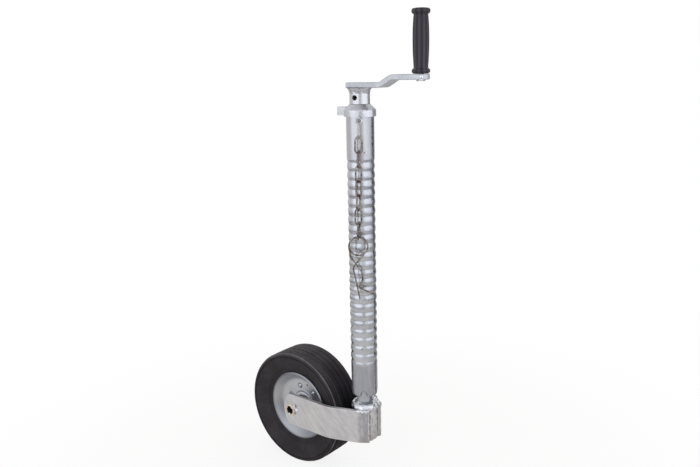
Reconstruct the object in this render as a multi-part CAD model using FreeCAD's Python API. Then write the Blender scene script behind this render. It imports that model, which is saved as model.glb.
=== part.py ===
import FreeCAD, Part
import math
import os
from FreeCAD import Placement, Rotation, Vector

# A jockey wheel for a trailer's coupling: a ribbed steel column that a clamp grips, a crank on a
# spindle at its top, and a tube inside it that carries a fork and a solid rubber wheel.
# Millimetres. Z runs up the column's axis, the wheel trails to -X and the crank points to +X.
# Heights below are measured up from the ground. The origin is on the column's axis, in the
# middle of the zone that a clamp grips, so every piece is lowered by clamp_height when it is kept.

# Outer tube, from its lower end up
tube_bore_radius = 20.4
tube_plain_radius = 24.0
tube_lower_radius = 23.7
rib_crest_radius = 24.0
rib_valley_radius = 22.8
rib_pitch = 15.6
rib_count = 23
lower_plain_length = 67.5
upper_plain_length = 76.7
tube_end_round = 5.0
notch_count = 4
notch_width = 11.0
notch_height = 11.5
front_azimuth = 33.0

# Head collar, the cap that is welded over the tube's top
collar_radius = 27.5
collar_skirt_height = 13.0
collar_top_thickness = 7.5
collar_shoulder_round = 5.0
collar_shoulder_drop = 11.4
collar_neck_radius = 17.9
lug_reach = 45.0
lug_width = 13.0
lug_height = 15.0
lug_drill_radius = 1.3
lug_drill_depth = 2.0

# Spindle, its thrust bearing and its nut
spindle_radius = 8.0
spindle_length = 375.0
journal_radius = 9.0
journal_running_gap = 0.05
race_radius = 17.0
race_thickness = 3.0
cage_thickness = 3.4
bearing_gap = 0.3
shoulder_radius = 13.0
shoulder_height = 6.0
stop_radius = 11.6
stop_height = 6.0
thread_lead = 4.0
nut_length = 26.0
nut_flange_thickness = 5.0
nut_seat_gap = 0.05
nut_running_gap = 0.08

# Crank
hub_radius = 17.5
hub_height = 26.5
hub_gap = 0.5
hub_weld_radius = 21.2
hub_weld_height = 8.0
cross_hole_radius = 4.5
cross_hole_height = 10.4
cross_hole_turn = 7.0
spring_pin_wall = 1.4
spring_pin_recess = 3.0
crank_reach = 122.5
crank_width = 28.0
crank_thickness = 9.0
crank_tail = 19.0
crank_rise = 12.5
crank_rise_start = 49.5
crank_rise_run = 23.0
crank_bend_radius = 14.0
crank_edge_round = 1.6

# Grip and its pin
grip_length = 100.5
grip_gap = 0.4
grip_foot_radius = 14.9
grip_foot_height = 9.0
grip_waist_radius = 11.9
grip_belly_radius = 13.3
grip_flute_count = 10
grip_flute_radius = 3.2
grip_flute_depth = 0.75
grip_bore_radius = 5.2
grip_pin_radius = 4.9
grip_pin_reach = 88.0
grip_head_across = 12.5
grip_head_height = 2.2

# Inner tube and what guides it
inner_tube_radius = 14.75
inner_tube_wall = 2.5
inner_tube_top = 560.0
neck_gap = 16.0
guide_length = 28.0
guide_start = 1.0
guide_running_gap = 0.06
upper_guide_length = 20.0

# Fork
fork_bar_height = 62.0
fork_bar_thickness = 8.0
fork_rise = 1.5
fork_side_clearance = 2.5
fork_swell = 2.4
fork_swell_start = 118.0
fork_bend_start = 52.0
fork_bend_radius = 70.0
fork_wrap_radius = 11.0
fork_wrap_angle = 33.7
fork_wrap_before = 12.0
fork_wrap_after = 8.0
fork_end_reach = 14.5
fork_end_radius = 44.0
fork_edge_round = 1.2
socket_radius = 19.0
weld_bead_radius = 3.4
cup_height = 9.5
cup_radius = 24.3
cup_lip_width = 4.5
cup_hollow_depth = 2.5
cup_round = 3.5
key_width = 10.0
key_azimuth = 97.0
key_height = 15.3
key_inner_radius = 18.6

# Wheel
wheel_radius = 110.0
wheel_half_width = 34.5
wheel_trail = 148.0
tyre_shoulder = 6.5
tyre_ring_inset = 8.0
tyre_ring_width = 2.4
tyre_ring_depth = 1.4
tyre_bead_radius = 75.5
tyre_bead_recess = 1.2
tread_groove_count = 4
tread_groove_width = 3.6
tread_groove_depth = 1.8
tread_groove_spacing = 12.5
rim_sheet = 3.0
rim_edge_radius = 66.0
rim_edge_offset = 22.5
rim_disc_radius = 50.0
rim_bend_radius = 18.0
rim_edge_turn = 2.5
rim_foot_radius = 3.0
rim_lip_radius = 17.8
rim_lip_gap = 0.1
tyre_seat_gap = 0.2
tyre_foot_radius = 51.0
rivet_count = 6
rivet_circle_radius = 34.5
rivet_radius = 2.6
rivet_head_radius = 4.6
rivet_head_height = 2.6
vent_hole_count = 3
vent_hole_radius = 1.8
vent_circle_radius = 39.3
bearing_outer_radius = 21.0
bearing_race_width = 4.0
bearing_edge_round = 0.8
bearing_inner_width = 3.5
bearing_width = 12.0
bearing_seal_gap = 0.3
bearing_seal_thickness = 1.2
bearing_seal_inset = 0.4
axle_radius = 10.0
axle_bore_radius = 7.2
axle_lip_radius = 10.8
axle_lip_height = 1.2
spacer_radius = 13.0

# Chain and spring clip, which hang at the front of the column
link_wire_radius = 1.5
link_inner_length = 24.8
link_half_width = 6.0
link_play = 0.25
link_turns = (84.0, 2.0, -68.0, 42.0, -43.0, 68.0, -25.0, -95.0)
chain_stand_off = 7.9
chain_lean = 1.2
eye_drop = 5.8
eye_radius = 4.5
clip_wire_radius = 1.25
clip_play = 0.8
clip_coil_radius = 16.2
clip_coil_pitch = 2.75
clip_coil_start = -48.0
clip_coil_end = 540.0
clip_coil_arcs = 10
clip_leg_length = 94.0
clip_leg_bend = 37.0
clip_tail_reach = 28.0

# Heights that follow from the sizes above
axle_height = wheel_radius
tyre_ring_radius = wheel_radius - tyre_ring_inset
fork_outer_half_width = wheel_half_width + fork_side_clearance + fork_bar_thickness
fork_middle = axle_height + fork_rise
fork_bottom = fork_middle - fork_bar_height / 2
fork_top = fork_middle + fork_bar_height / 2
cup_top = fork_top + cup_height
tube_bottom = cup_top + neck_gap
ribs_bottom = tube_bottom + lower_plain_length
ribs_top = ribs_bottom + rib_count * rib_pitch
collar_bottom = ribs_top + upper_plain_length
tube_top = collar_bottom + collar_skirt_height
collar_top = tube_top + collar_top_thickness
hub_bottom = collar_top + hub_gap
hub_top = hub_bottom + hub_height
crank_top = hub_top + crank_rise + crank_thickness
grip_bottom = crank_top + grip_gap
clamp_height = (ribs_bottom + ribs_top) / 2
axis_up = Vector(0, 0, 1)


def save(name, *solids):
    """Lower the solids so that the origin is in the clamp zone, and keep them as one node."""
    lowered = []
    for solid in solids:
        piece = solid.copy()
        piece.translate(Vector(0, 0, -clamp_height))
        lowered.append(piece)
    shape = lowered[0] if len(lowered) == 1 else Part.makeCompound(lowered)
    shape.exportStep("parts/%s.step" % name)


def cylinder(radius, bottom, top, x=0.0, y=0.0):
    return Part.makeCylinder(radius, top - bottom, Vector(x, y, bottom), axis_up)


def ring(outer, inner, bottom, top):
    return cylinder(outer, bottom, top).cut(cylinder(inner, bottom - 1, top + 1))


def outward(azimuth):
    """The direction that points away from the column at an azimuth, where 0 is -Y and 90 is +X."""
    angle = math.radians(azimuth)
    return Vector(math.sin(angle), -math.cos(angle), 0)


def turned_up(points):
    """Revolve a closed outline of (radius, height) points about the column's axis."""
    corners = [Vector(radius, 0, height) for radius, height in points]
    return Part.Face(Part.makePolygon(corners + corners[:1])).revolve(Vector(), axis_up, 360)


def turned_about_axle(face):
    """Revolve a face drawn with x as radius and y as distance across the wheel, at the axle."""
    solid = face.revolve(Vector(), Vector(0, 1, 0), 360)
    solid.translate(Vector(-wheel_trail, 0, axle_height))
    return solid


def axle_ring(outer, inner, start, end):
    """A ring about the axle between two distances across the wheel."""
    centre = Vector(-wheel_trail, start, axle_height)
    across = Vector(0, 1, 0)
    solid = Part.makeCylinder(outer, end - start, centre, across)
    if inner:
        solid = solid.cut(Part.makeCylinder(inner, end - start + 2, centre - across, across))
    return solid


def arc(start, middle, end):
    return Part.Arc(start, middle, end).toShape()


def bent_path(points, radii, normal):
    """Straight runs and tangent arcs through the points, bent in the plane with that normal.

    Each run is (start, end) and each arc is (start, end, centre)."""
    pieces = []
    start = points[0]
    for before, corner, after, radius in zip(points, points[1:], points[2:], radii):
        along = (corner - before).normalize()
        onward = (after - corner).normalize()
        turn = along.getAngle(onward)
        setback = radius * math.tan(turn / 2)
        arc_start = corner - along * setback
        arc_end = corner + onward * setback
        side = normal.cross(along)
        if side.dot(onward) < 0:
            side = side * -1
        pieces.append((start, arc_start))
        pieces.append((arc_start, arc_end, arc_start + side * radius))
        start = arc_end
    pieces.append((start, points[-1]))
    return pieces


def path_edges(pieces, normal, offset=0.0):
    """The edges of a bent path, moved sideways by the offset."""
    edges = []
    for piece in pieces:
        if len(piece) == 2:
            start, end = piece
            side = normal.cross((end - start).normalize()) * offset
            edges.append(Part.LineSegment(start + side, end + side).toShape())
            continue
        start, end, centre = piece
        toward = (start - centre).normalize()
        across = (end - start).normalize()
        inward = 1 if normal.cross(across).dot(centre - start) > 0 else -1
        radius = (start - centre).Length - offset * inward
        middle = ((start + end) * 0.5 - centre).normalize()
        away = (end - centre).normalize()
        edges.append(arc(centre + toward * radius, centre + middle * radius, centre + away * radius))
    return edges


def bent_strip(points, radii, thickness, normal):
    """The face of a sheet or bar, seen edge on, that follows the points."""
    pieces = bent_path(points, radii, normal)
    left = path_edges(pieces, normal, thickness / 2)
    right = path_edges(pieces, normal, -thickness / 2)
    ends = []
    for corner, opposite in ((left[0].firstVertex(True), right[0].firstVertex(True)),
                             (left[-1].lastVertex(True), right[-1].lastVertex(True))):
        ends.append(Part.LineSegment(corner.Point, opposite.Point).toShape())
    return Part.Face(Part.Wire(Part.__sortEdges__(left + right + ends)))


def wire_solid(edges, radius, facing, sides=8):
    """A round wire along a path of lines and arcs, with a section of flat sides."""
    path = Part.Wire(edges)
    start = edges[0].valueAt(edges[0].FirstParameter)
    along = edges[0].tangentAt(edges[0].FirstParameter)
    across = along.cross(facing).normalize()
    corners = []
    for index in range(sides):
        angle = 2 * math.pi * (index + 0.5) / sides
        corners.append(start + across * (radius * math.cos(angle)) + facing * (radius * math.sin(angle)))
    section = Part.makePolygon(corners + corners[:1])
    return path.makePipeShell([section], True, False)


def front_frame(azimuth, radius, height):
    """Move a piece from its own frame to the column's side: x across, y inward, z up."""
    place = Placement()
    place.Rotation = Rotation(axis_up, azimuth)
    place.Base = outward(azimuth) * radius + Vector(0, 0, height)
    return place


def line(start, end):
    return Part.LineSegment(start, end).toShape()


def tube_profile():
    """The wall of the outer tube, cut through one side: a rounded foot and an arc for every rib."""
    mouth = tube_bore_radius + 0.3
    foot = Vector(mouth, 0, tube_bottom)
    lower = Vector(tube_lower_radius, 0, tube_bottom + tube_end_round)
    flat = (tube_lower_radius - mouth) * (1 - math.sqrt(0.5))
    middle = Vector(tube_lower_radius - flat, 0, tube_bottom + tube_end_round * (1 - math.sqrt(0.5)))
    bore_foot = Vector(tube_bore_radius, 0, tube_bottom)
    bore_top = Vector(tube_bore_radius, 0, tube_top)
    here = Vector(tube_lower_radius, 0, ribs_bottom - rib_pitch * 0.1)
    edges = [line(bore_top, bore_foot), line(bore_foot, foot), arc(foot, middle, lower), line(lower, here)]
    valley = Vector(rib_valley_radius, 0, ribs_bottom)
    edges.append(line(here, valley))
    for index in range(rib_count):
        crest = Vector(rib_crest_radius, 0, valley.z + rib_pitch / 2)
        above = valley + Vector(0, 0, rib_pitch)
        edges.append(arc(valley, crest, above))
        valley = above
    shoulder = Vector(tube_plain_radius, 0, ribs_top + rib_pitch * 0.3)
    top = Vector(tube_plain_radius, 0, tube_top)
    edges += [line(valley, shoulder), line(shoulder, top), line(top, bore_top)]
    return Part.Face(Part.Wire(edges))


def notch_cutter(azimuth):
    """The round-topped notch that the fork's key drops into when the wheel is wound right up."""
    radius = notch_width / 2
    depth = tube_lower_radius
    slot = Part.makeBox(notch_width, depth, notch_height - radius + 1,
                        Vector(-radius, -depth, tube_bottom - 1))
    top = Part.makeCylinder(radius, depth, Vector(0, 0, tube_bottom + notch_height - radius),
                            Vector(0, -1, 0))
    cutter = slot.fuse(top)
    cutter.translate(Vector(0, -2, 0))
    cutter.rotate(Vector(), axis_up, azimuth)
    return cutter


def outer_tube():
    tube = tube_profile().revolve(Vector(), axis_up, 360)
    for index in range(notch_count):
        tube = tube.cut(notch_cutter(front_azimuth + index * 360 / notch_count))
    return tube


def head_collar():
    """The cap with its square lug; its skirt fits over the tube and its top carries the spindle."""
    bore = journal_radius + journal_running_gap
    shoulder = collar_top - collar_shoulder_drop
    outline = [(tube_plain_radius, collar_bottom), (collar_radius, collar_bottom)]
    for step in range(4):
        angle = math.radians(50 * step / 3)
        outline.append((collar_radius - collar_shoulder_round * (1 - math.cos(angle)),
                        shoulder + collar_shoulder_round * math.sin(angle)))
    outline += [(collar_neck_radius + 1.6, collar_top - 1.6), (collar_neck_radius, collar_top),
                (bore, collar_top), (bore, tube_top), (tube_plain_radius, tube_top)]
    collar = turned_up(outline)
    lug = Part.makeBox(lug_reach - tube_plain_radius - 0.5, lug_width, lug_height,
                       Vector(-lug_reach, -lug_width / 2, collar_bottom + 0.8))
    upright = [edge for edge in lug.Edges
               if abs(edge.tangentAt(0).z) > 0.9 and edge.CenterOfMass.x < -lug_reach + 1]
    lug = lug.makeFillet(1.5, upright)
    drill_at = -collar_radius - lug_drill_radius
    top = collar_bottom + 0.8 + lug_height
    lug = lug.cut(cylinder(lug_drill_radius, top - lug_drill_depth, top + 1, drill_at, 0))
    return collar.fuse(lug.cut(cylinder(collar_radius - 0.8, 0, collar_top + 50))).removeSplitter()


def thrust_bearing():
    """The upper race and the ball cage stay with the cap; the lower race turns with the spindle."""
    inner = journal_radius + 0.6
    top = tube_top
    upper = ring(race_radius, inner, top - race_thickness, top)
    top -= race_thickness + bearing_gap
    cage = ring(race_radius - 1.5, inner + 1.5, top - cage_thickness, top)
    top -= cage_thickness + bearing_gap
    lower = ring(race_radius, journal_radius, top - race_thickness, top)
    return upper, cage, lower, top - race_thickness


def spindle(shoulder_top):
    """The screw hangs in the cap by its shoulder; its thread is left plain."""
    shoulder_bottom = shoulder_top - shoulder_height
    outline = [(0, shoulder_bottom - spindle_length), (spindle_radius - 1, shoulder_bottom - spindle_length),
               (spindle_radius, shoulder_bottom - spindle_length + 1), (spindle_radius, shoulder_bottom),
               (shoulder_radius, shoulder_bottom), (shoulder_radius, shoulder_top),
               (journal_radius, shoulder_top), (journal_radius, hub_top - 1), (0, hub_top - 1)]
    screw = turned_up(outline).cut(cross_hole())
    bottom = shoulder_bottom - spindle_length
    stop = ring(stop_radius, spindle_radius, bottom + 2, bottom + 2 + stop_height)
    return screw, stop


def cross_direction():
    return outward(cross_hole_turn)


def cross_hole():
    """The hole through the hub and the journal for the spring pin."""
    height = hub_bottom + cross_hole_height
    reach = hub_radius + 5
    start = cross_direction() * reach + Vector(0, 0, height)
    return Part.makeCylinder(cross_hole_radius, 2 * reach, start, cross_direction() * -1)


def spring_pin():
    length = 2 * (hub_radius - spring_pin_recess)
    height = hub_bottom + cross_hole_height
    start = cross_direction() * (length / 2) + Vector(0, 0, height)
    away = cross_direction() * -1
    pin = Part.makeCylinder(cross_hole_radius, length, start, away)
    return pin.cut(Part.makeCylinder(cross_hole_radius - spring_pin_wall, length + 2, start - away, away))


def crank_hub():
    hub = ring(hub_radius, journal_radius, hub_bottom, hub_top)
    return hub.cut(cross_hole())


def hub_weld():
    """The fillet weld between the hub's top and the underside of the crank arm."""
    bottom = hub_top - hub_weld_height
    return turned_up([(hub_radius, bottom), (hub_radius + 1.0, bottom + hub_weld_height * 0.55),
                      (hub_weld_radius, hub_top), (hub_radius, hub_top)])


def crank_arm():
    """A flat bar with a step up to the grip and a round end about the grip's pin."""
    middle = hub_top + crank_thickness / 2
    points = [Vector(-crank_tail, 0, middle), Vector(crank_rise_start, 0, middle),
              Vector(crank_rise_start + crank_rise_run, 0, middle + crank_rise),
              Vector(crank_reach + crank_width / 2, 0, middle + crank_rise)]
    side = bent_strip(points, (crank_bend_radius, crank_bend_radius), crank_thickness, Vector(0, 1, 0))
    bar = side.extrude(Vector(0, crank_width, 0))
    bar.translate(Vector(0, -crank_width / 2, 0))
    half = crank_width / 2
    span = crank_reach + crank_tail
    plan = Part.makeBox(span, crank_width, 100, Vector(-crank_tail, -half, hub_top - 10))
    plan = plan.fuse(cylinder(half, hub_top - 10, hub_top + 90, crank_reach, 0))
    bar = bar.common(plan).removeSplitter()
    long_edges = []
    for edge in bar.Edges:
        middle_point = edge.valueAt((edge.FirstParameter + edge.LastParameter) / 2)
        box = edge.BoundBox
        flat = box.ZLength > crank_thickness * 0.9 and box.XLength < 1
        if abs(abs(middle_point.y) - half) < 0.01 and not flat:
            long_edges.append(edge)
    bar = bar.makeFillet(crank_edge_round, long_edges)
    return bar.cut(cylinder(grip_pin_radius, hub_top, crank_top + 1, crank_reach, 0))


def grip_pin():
    """The pin with a six-sided head under the arm; the grip turns on its long shank."""
    underside = crank_top - crank_thickness
    shank = cylinder(grip_pin_radius, underside - 0.5, crank_top + grip_pin_reach, crank_reach, 0)
    corner = grip_head_across / math.sqrt(3)
    corners = []
    for index in range(6):
        angle = math.radians(60 * index + 30)
        corners.append(Vector(crank_reach + corner * math.cos(angle), corner * math.sin(angle),
                              underside - grip_head_height))
    head = Part.Face(Part.makePolygon(corners + corners[:1])).extrude(Vector(0, 0, grip_head_height))
    return shank.fuse(head).removeSplitter()


def grip():
    """A moulded handle: a round foot, a fluted barrel and a closed, slightly domed top."""
    top = grip_bottom + grip_length
    foot = grip_bottom + grip_foot_height
    profile = [(0, grip_bottom), (grip_foot_radius - 2.6, grip_bottom),
               (grip_foot_radius, grip_bottom + 2.6), (grip_foot_radius, grip_bottom + 5.2),
               (grip_waist_radius, foot), (grip_belly_radius - 0.3, grip_bottom + grip_length * 0.35),
               (grip_belly_radius, grip_bottom + grip_length * 0.6),
               (grip_belly_radius, top - 11), (grip_foot_radius, top - 6.5),
               (grip_foot_radius, top - 3), (grip_foot_radius - 3, top - 0.8), (0, top)]
    handle = turned_up(profile)
    belly = (grip_belly_radius + grip_waist_radius) / 2
    for index in range(grip_flute_count):
        angle = 2 * math.pi * index / grip_flute_count
        reach = belly + grip_flute_radius - grip_flute_depth
        flute = cylinder(grip_flute_radius, foot + 2, top - 12, reach * math.cos(angle),
                         reach * math.sin(angle))
        handle = handle.cut(flute)
    handle = handle.cut(cylinder(grip_bore_radius, grip_bottom - 1, crank_top + grip_pin_reach + 1))
    handle.translate(Vector(crank_reach, 0, 0))
    return handle


def lower_guide():
    """The bush in the tube's lower end: the inner tube slides in it, and both turn in the tube."""
    bottom = tube_bottom + guide_start
    return ring(tube_bore_radius - guide_running_gap, inner_tube_radius + guide_running_gap,
                bottom, bottom + guide_length)


def inner_tube():
    return ring(inner_tube_radius, inner_tube_radius - inner_tube_wall, fork_bottom + 2, inner_tube_top)


def upper_guide():
    return ring(tube_bore_radius - guide_running_gap, inner_tube_radius,
                inner_tube_top - upper_guide_length, inner_tube_top)


def spindle_nut():
    """The nut sits in the inner tube's mouth, with a flange on its end."""
    bore = spindle_radius + nut_running_gap
    flange_bottom = inner_tube_top + nut_seat_gap
    body = inner_tube_radius - inner_tube_wall - nut_seat_gap
    return turned_up([(bore, inner_tube_top - nut_length), (body, inner_tube_top - nut_length),
                      (body, flange_bottom), (inner_tube_radius, flange_bottom),
                      (inner_tube_radius, flange_bottom + nut_flange_thickness),
                      (bore, flange_bottom + nut_flange_thickness)])


def wrap_points():
    """Where the near arm's outer face starts and ends its wrap round the stem."""
    angle = math.radians(fork_wrap_angle)
    facing = Vector(math.sin(angle), -math.cos(angle), 0)
    along = Vector(math.cos(angle), math.sin(angle), 0)
    touch = facing * (socket_radius + fork_bar_thickness)
    return touch - along * fork_wrap_before, touch + along * fork_wrap_after


def near_arm():
    """A flat bar on edge, bent in towards the stem and wrapped round its front."""
    half = fork_bar_thickness / 2
    wrap_start, wrap_end = wrap_points()
    outer = [Vector(-wheel_trail - fork_end_reach, -fork_outer_half_width, 0),
             Vector(-fork_swell_start, -fork_outer_half_width, 0),
             Vector(-fork_bend_start, -fork_outer_half_width - fork_swell, 0), wrap_start, wrap_end]
    middle = []
    for index, point in enumerate(outer):
        before = outer[max(index - 1, 0)]
        here = outer[min(index, len(outer) - 2)]
        first = (outer[max(index, 1)] - before).normalize()
        second = (outer[min(index + 1, len(outer) - 1)] - here).normalize()
        bisector = (axis_up.cross(first) + axis_up.cross(second)).normalize()
        middle.append(point + bisector * (half / bisector.dot(axis_up.cross(first))))
    radii = (fork_bend_radius, fork_bend_radius, fork_wrap_radius)
    plan = bent_strip(middle, radii, fork_bar_thickness, axis_up)
    bar = plan.extrude(Vector(0, 0, fork_bar_height))
    bar.translate(Vector(0, 0, fork_bottom))
    end_centre = Vector(-wheel_trail - fork_end_reach + fork_end_radius, -2 * fork_outer_half_width,
                        fork_middle)
    reach = 4 * fork_outer_half_width
    rounded = Part.makeCylinder(fork_end_radius, reach, end_centre, Vector(0, 1, 0))
    front = Part.makeBox(4 * fork_outer_half_width + wheel_trail, reach, fork_bar_height,
                         Vector(end_centre.x, -2 * fork_outer_half_width, fork_bottom))
    bar = bar.common(rounded.fuse(front)).removeSplitter()
    edges = [edge for edge in bar.Edges
             if edge.Length > fork_bar_thickness * 1.2
             and not (edge.BoundBox.ZLength > fork_bar_height * 0.8 and edge.BoundBox.XLength < 1)
             and min(abs(edge.CenterOfMass.z - fork_bottom), abs(edge.CenterOfMass.z - fork_top)) < 0.01]
    bar = bar.makeFillet(fork_edge_round, edges)
    hole = Part.makeCylinder(axle_radius, reach, Vector(-wheel_trail, -2 * fork_outer_half_width,
                                                        axle_height), Vector(0, 1, 0))
    return bar.cut(hole).cut(cylinder(socket_radius, fork_bottom - 1, fork_top + 1))


def far_side(solid):
    """The mirror image across the wheel's middle plane."""
    return solid.mirror(Vector(), Vector(0, 1, 0))


def stem_socket():
    return ring(socket_radius, inner_tube_radius, fork_bottom, fork_top)


def fork_welds(arms, socket):
    """Upright beads in the corners between the ends of the arms and the socket."""
    corner = wrap_points()[1]
    angle = math.radians(fork_wrap_angle)
    inward = Vector(-math.sin(angle), math.cos(angle), 0)
    spot = corner + inward * fork_bar_thickness
    beads = []
    for sign in (1, -1):
        bead = cylinder(weld_bead_radius, fork_bottom + 3, fork_top - 3, spot.x, sign * spot.y)
        beads.append(bead.cut(arms[0]).cut(arms[1]).cut(socket))
    return beads


def stem_cup():
    """The dished cup on the fork that the column's lower end comes down into."""
    floor = cup_top - cup_hollow_depth
    lip_inner = cup_radius - cup_lip_width
    return turned_up([(inner_tube_radius, fork_top), (cup_radius - cup_round, fork_top),
                      (cup_radius - cup_round * 0.3, fork_top + cup_round * 0.3),
                      (cup_radius, fork_top + cup_round), (cup_radius, cup_top - 1.5),
                      (cup_radius - 1.5, cup_top), (lip_inner + 0.8, cup_top),
                      (lip_inner, cup_top - 0.8), (lip_inner - 1.5, floor), (inner_tube_radius, floor)])


def lock_key():
    """The upright key on the cup's lip; it stops just below the column's lower end."""
    depth = cup_radius - key_inner_radius
    key = Part.makeBox(key_width, depth, key_height + cup_hollow_depth,
                       Vector(-key_width / 2, -cup_radius, cup_top - cup_hollow_depth))
    key.rotate(Vector(), axis_up, key_azimuth)
    return key.cut(stem_cup())


def axle():
    """A tube through both arms, spread over their faces at each end."""
    half = fork_outer_half_width
    tube = axle_ring(axle_radius, axle_bore_radius, -half - 0.2, half + 0.2)
    for start, end in ((-half - axle_lip_height, -half), (half, half + axle_lip_height)):
        tube = tube.fuse(axle_ring(axle_lip_radius, axle_bore_radius, start, end))
    return tube.removeSplitter()


def axle_spacers():
    inner_face = fork_outer_half_width - fork_bar_thickness
    near = axle_ring(spacer_radius, axle_radius, -inner_face, -bearing_width / 2)
    far = axle_ring(spacer_radius, axle_radius, bearing_width / 2, inner_face)
    return near, far


def rim_line():
    """The middle line of a pressed half rim, from the lip over the bearing to the outer edge."""
    half = rim_sheet / 2
    lip = bearing_width / 2 + rim_lip_gap + half
    seat = bearing_outer_radius + half
    points = [Vector(rim_lip_radius, lip, 0), Vector(seat, lip, 0), Vector(seat, half, 0),
              Vector(rim_disc_radius, half, 0),
              Vector(rim_edge_radius - rim_edge_turn, rim_edge_offset - rim_edge_turn * 1.3, 0),
              Vector(rim_edge_radius, rim_edge_offset, 0)]
    return points, (half + 0.5, rim_foot_radius, rim_bend_radius, half + 1.0)


def rim_half():
    """A pressed half rim: a lip and a seat for the bearing, a flat disc and a dish for the tyre."""
    points, radii = rim_line()
    rim = turned_about_axle(bent_strip(points, radii, rim_sheet, Vector(0, 0, 1)))
    for index in range(rivet_count):
        rim = rim.cut(across_hole(index, 0.0, rivet_circle_radius, rivet_radius))
    for index in range(vent_hole_count):
        gap = index * rivet_count / vent_hole_count
        rim = rim.cut(across_hole(gap, 0.5, vent_circle_radius, vent_hole_radius))
    return rim


def around_axle(index, half_step, radius):
    """The point at a radius from the axle for one of the rivets or vent holes."""
    angle = math.radians(360 * (index + half_step) / rivet_count + 46)
    return Vector(-wheel_trail + radius * math.cos(angle), 0, axle_height + radius * math.sin(angle))


def across_hole(index, half_step, radius, hole_radius):
    centre = around_axle(index, half_step, radius)
    return Part.makeCylinder(hole_radius, 40, centre - Vector(0, 20, 0), Vector(0, 1, 0))


def rim_rivets():
    """Rivets with low domed heads that hold the half rims together."""
    rivets = []
    across = Vector(0, 1, 0)
    face = Vector(0, rim_sheet, 0)
    edge = face + Vector(rivet_head_radius, 0, 0)
    crown = face + Vector(0, rivet_head_height, 0)
    between = face + Vector(rivet_head_radius * 0.68, rivet_head_height * 0.62, 0)
    dome = Part.Face(Part.Wire([line(face, crown), arc(crown, between, edge), line(edge, face)]))
    head = dome.revolve(Vector(), across, 360)
    shank = Part.makeCylinder(rivet_radius, 2 * rim_sheet, face * -1, across)
    whole = shank.fuse(head).fuse(far_side(head)).removeSplitter()
    for index in range(rivet_count):
        rivet = whole.copy()
        rivet.translate(around_axle(index, 0.0, rivet_circle_radius))
        rivets.append(rivet)
    return rivets


def tyre_side(sign):
    """One side of the tyre's section, from the tread in over the sloping side to the rim's dish."""
    ring_half = tyre_ring_width / 2
    side = wheel_half_width
    edge = rim_edge_radius + rim_sheet / 2 + tyre_seat_gap
    outline = [(wheel_radius, side), (tyre_ring_radius + ring_half, side),
               (tyre_ring_radius, side - tyre_ring_depth), (tyre_ring_radius - ring_half, side),
               (tyre_bead_radius, rim_edge_offset + tyre_bead_recess),
               (tyre_bead_radius - tyre_bead_recess, rim_edge_offset - tyre_bead_recess),
               (edge + tyre_bead_recess, rim_edge_offset - 2 * tyre_bead_recess),
               (rim_edge_radius - rim_sheet / 2, rim_edge_offset - rim_sheet),
               (rim_disc_radius, rim_sheet / 2)]
    return [Vector(radius, sign * across, 0) for radius, across in outline]


def tread():
    """Points across the tread, with a trapezium for every groove."""
    points = []
    for index in range(tread_groove_count):
        middle = (index - (tread_groove_count - 1) / 2) * tread_groove_spacing
        floor = wheel_radius - tread_groove_depth
        points += [Vector(wheel_radius, middle - tread_groove_width / 2, 0),
                   Vector(floor, middle - tread_groove_width / 4, 0),
                   Vector(floor, middle + tread_groove_width / 4, 0),
                   Vector(wheel_radius, middle + tread_groove_width / 2, 0)]
    return points


def tyre():
    """A solid rubber ring whose foot fills the dish between the half rims."""
    corners = list(reversed(tyre_side(-1))) + tread() + tyre_side(1)
    section = Part.Face(Part.makePolygon(corners + corners[:1]))
    points, radii = rim_line()
    room = bent_strip(points, radii, rim_sheet + 2 * tyre_seat_gap, Vector(0, 0, 1))
    foot = Part.makePlane(tyre_foot_radius, 2 * wheel_half_width, Vector(0, -wheel_half_width, 0))
    section = section.cut(room).cut(far_side(room)).cut(foot)
    section = max(section.Faces, key=lambda face: face.Area)
    ring_solid = turned_about_axle(section)
    shoulders = [edge for edge in ring_solid.Edges
                 if abs(edge.BoundBox.ZLength - 2 * wheel_radius) < 0.01
                 and abs(abs(edge.CenterOfMass.y) - wheel_half_width) < 0.01]
    return ring_solid.makeFillet(tyre_shoulder, shoulders)


def wheel_bearing():
    """A sealed ball bearing: the outer race and seals turn with the rim, the inner with the axle."""
    half = bearing_width / 2
    outer = axle_ring(bearing_outer_radius, bearing_outer_radius - bearing_race_width, -half, half)
    rims = [edge for edge in outer.Edges if abs(edge.BoundBox.ZLength - 2 * bearing_outer_radius) < 0.01]
    outer = outer.makeChamfer(bearing_edge_round, [edge for edge in rims if len(edge.Vertexes) == 1])
    inner_edge = axle_radius + bearing_inner_width
    inner = axle_ring(inner_edge, axle_radius, -half, half)
    seal_outer = bearing_outer_radius - bearing_race_width
    seals = []
    for start in (bearing_seal_inset - half, half - bearing_seal_inset - bearing_seal_thickness):
        end = start + bearing_seal_thickness
        seals.append(axle_ring(seal_outer, inner_edge + bearing_seal_gap, start, end))
    return outer, inner, seals


def chain_radius():
    """How far the chain hangs from the column's axis."""
    return rib_crest_radius + chain_stand_off


def eye_height():
    return collar_bottom - eye_drop


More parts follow.
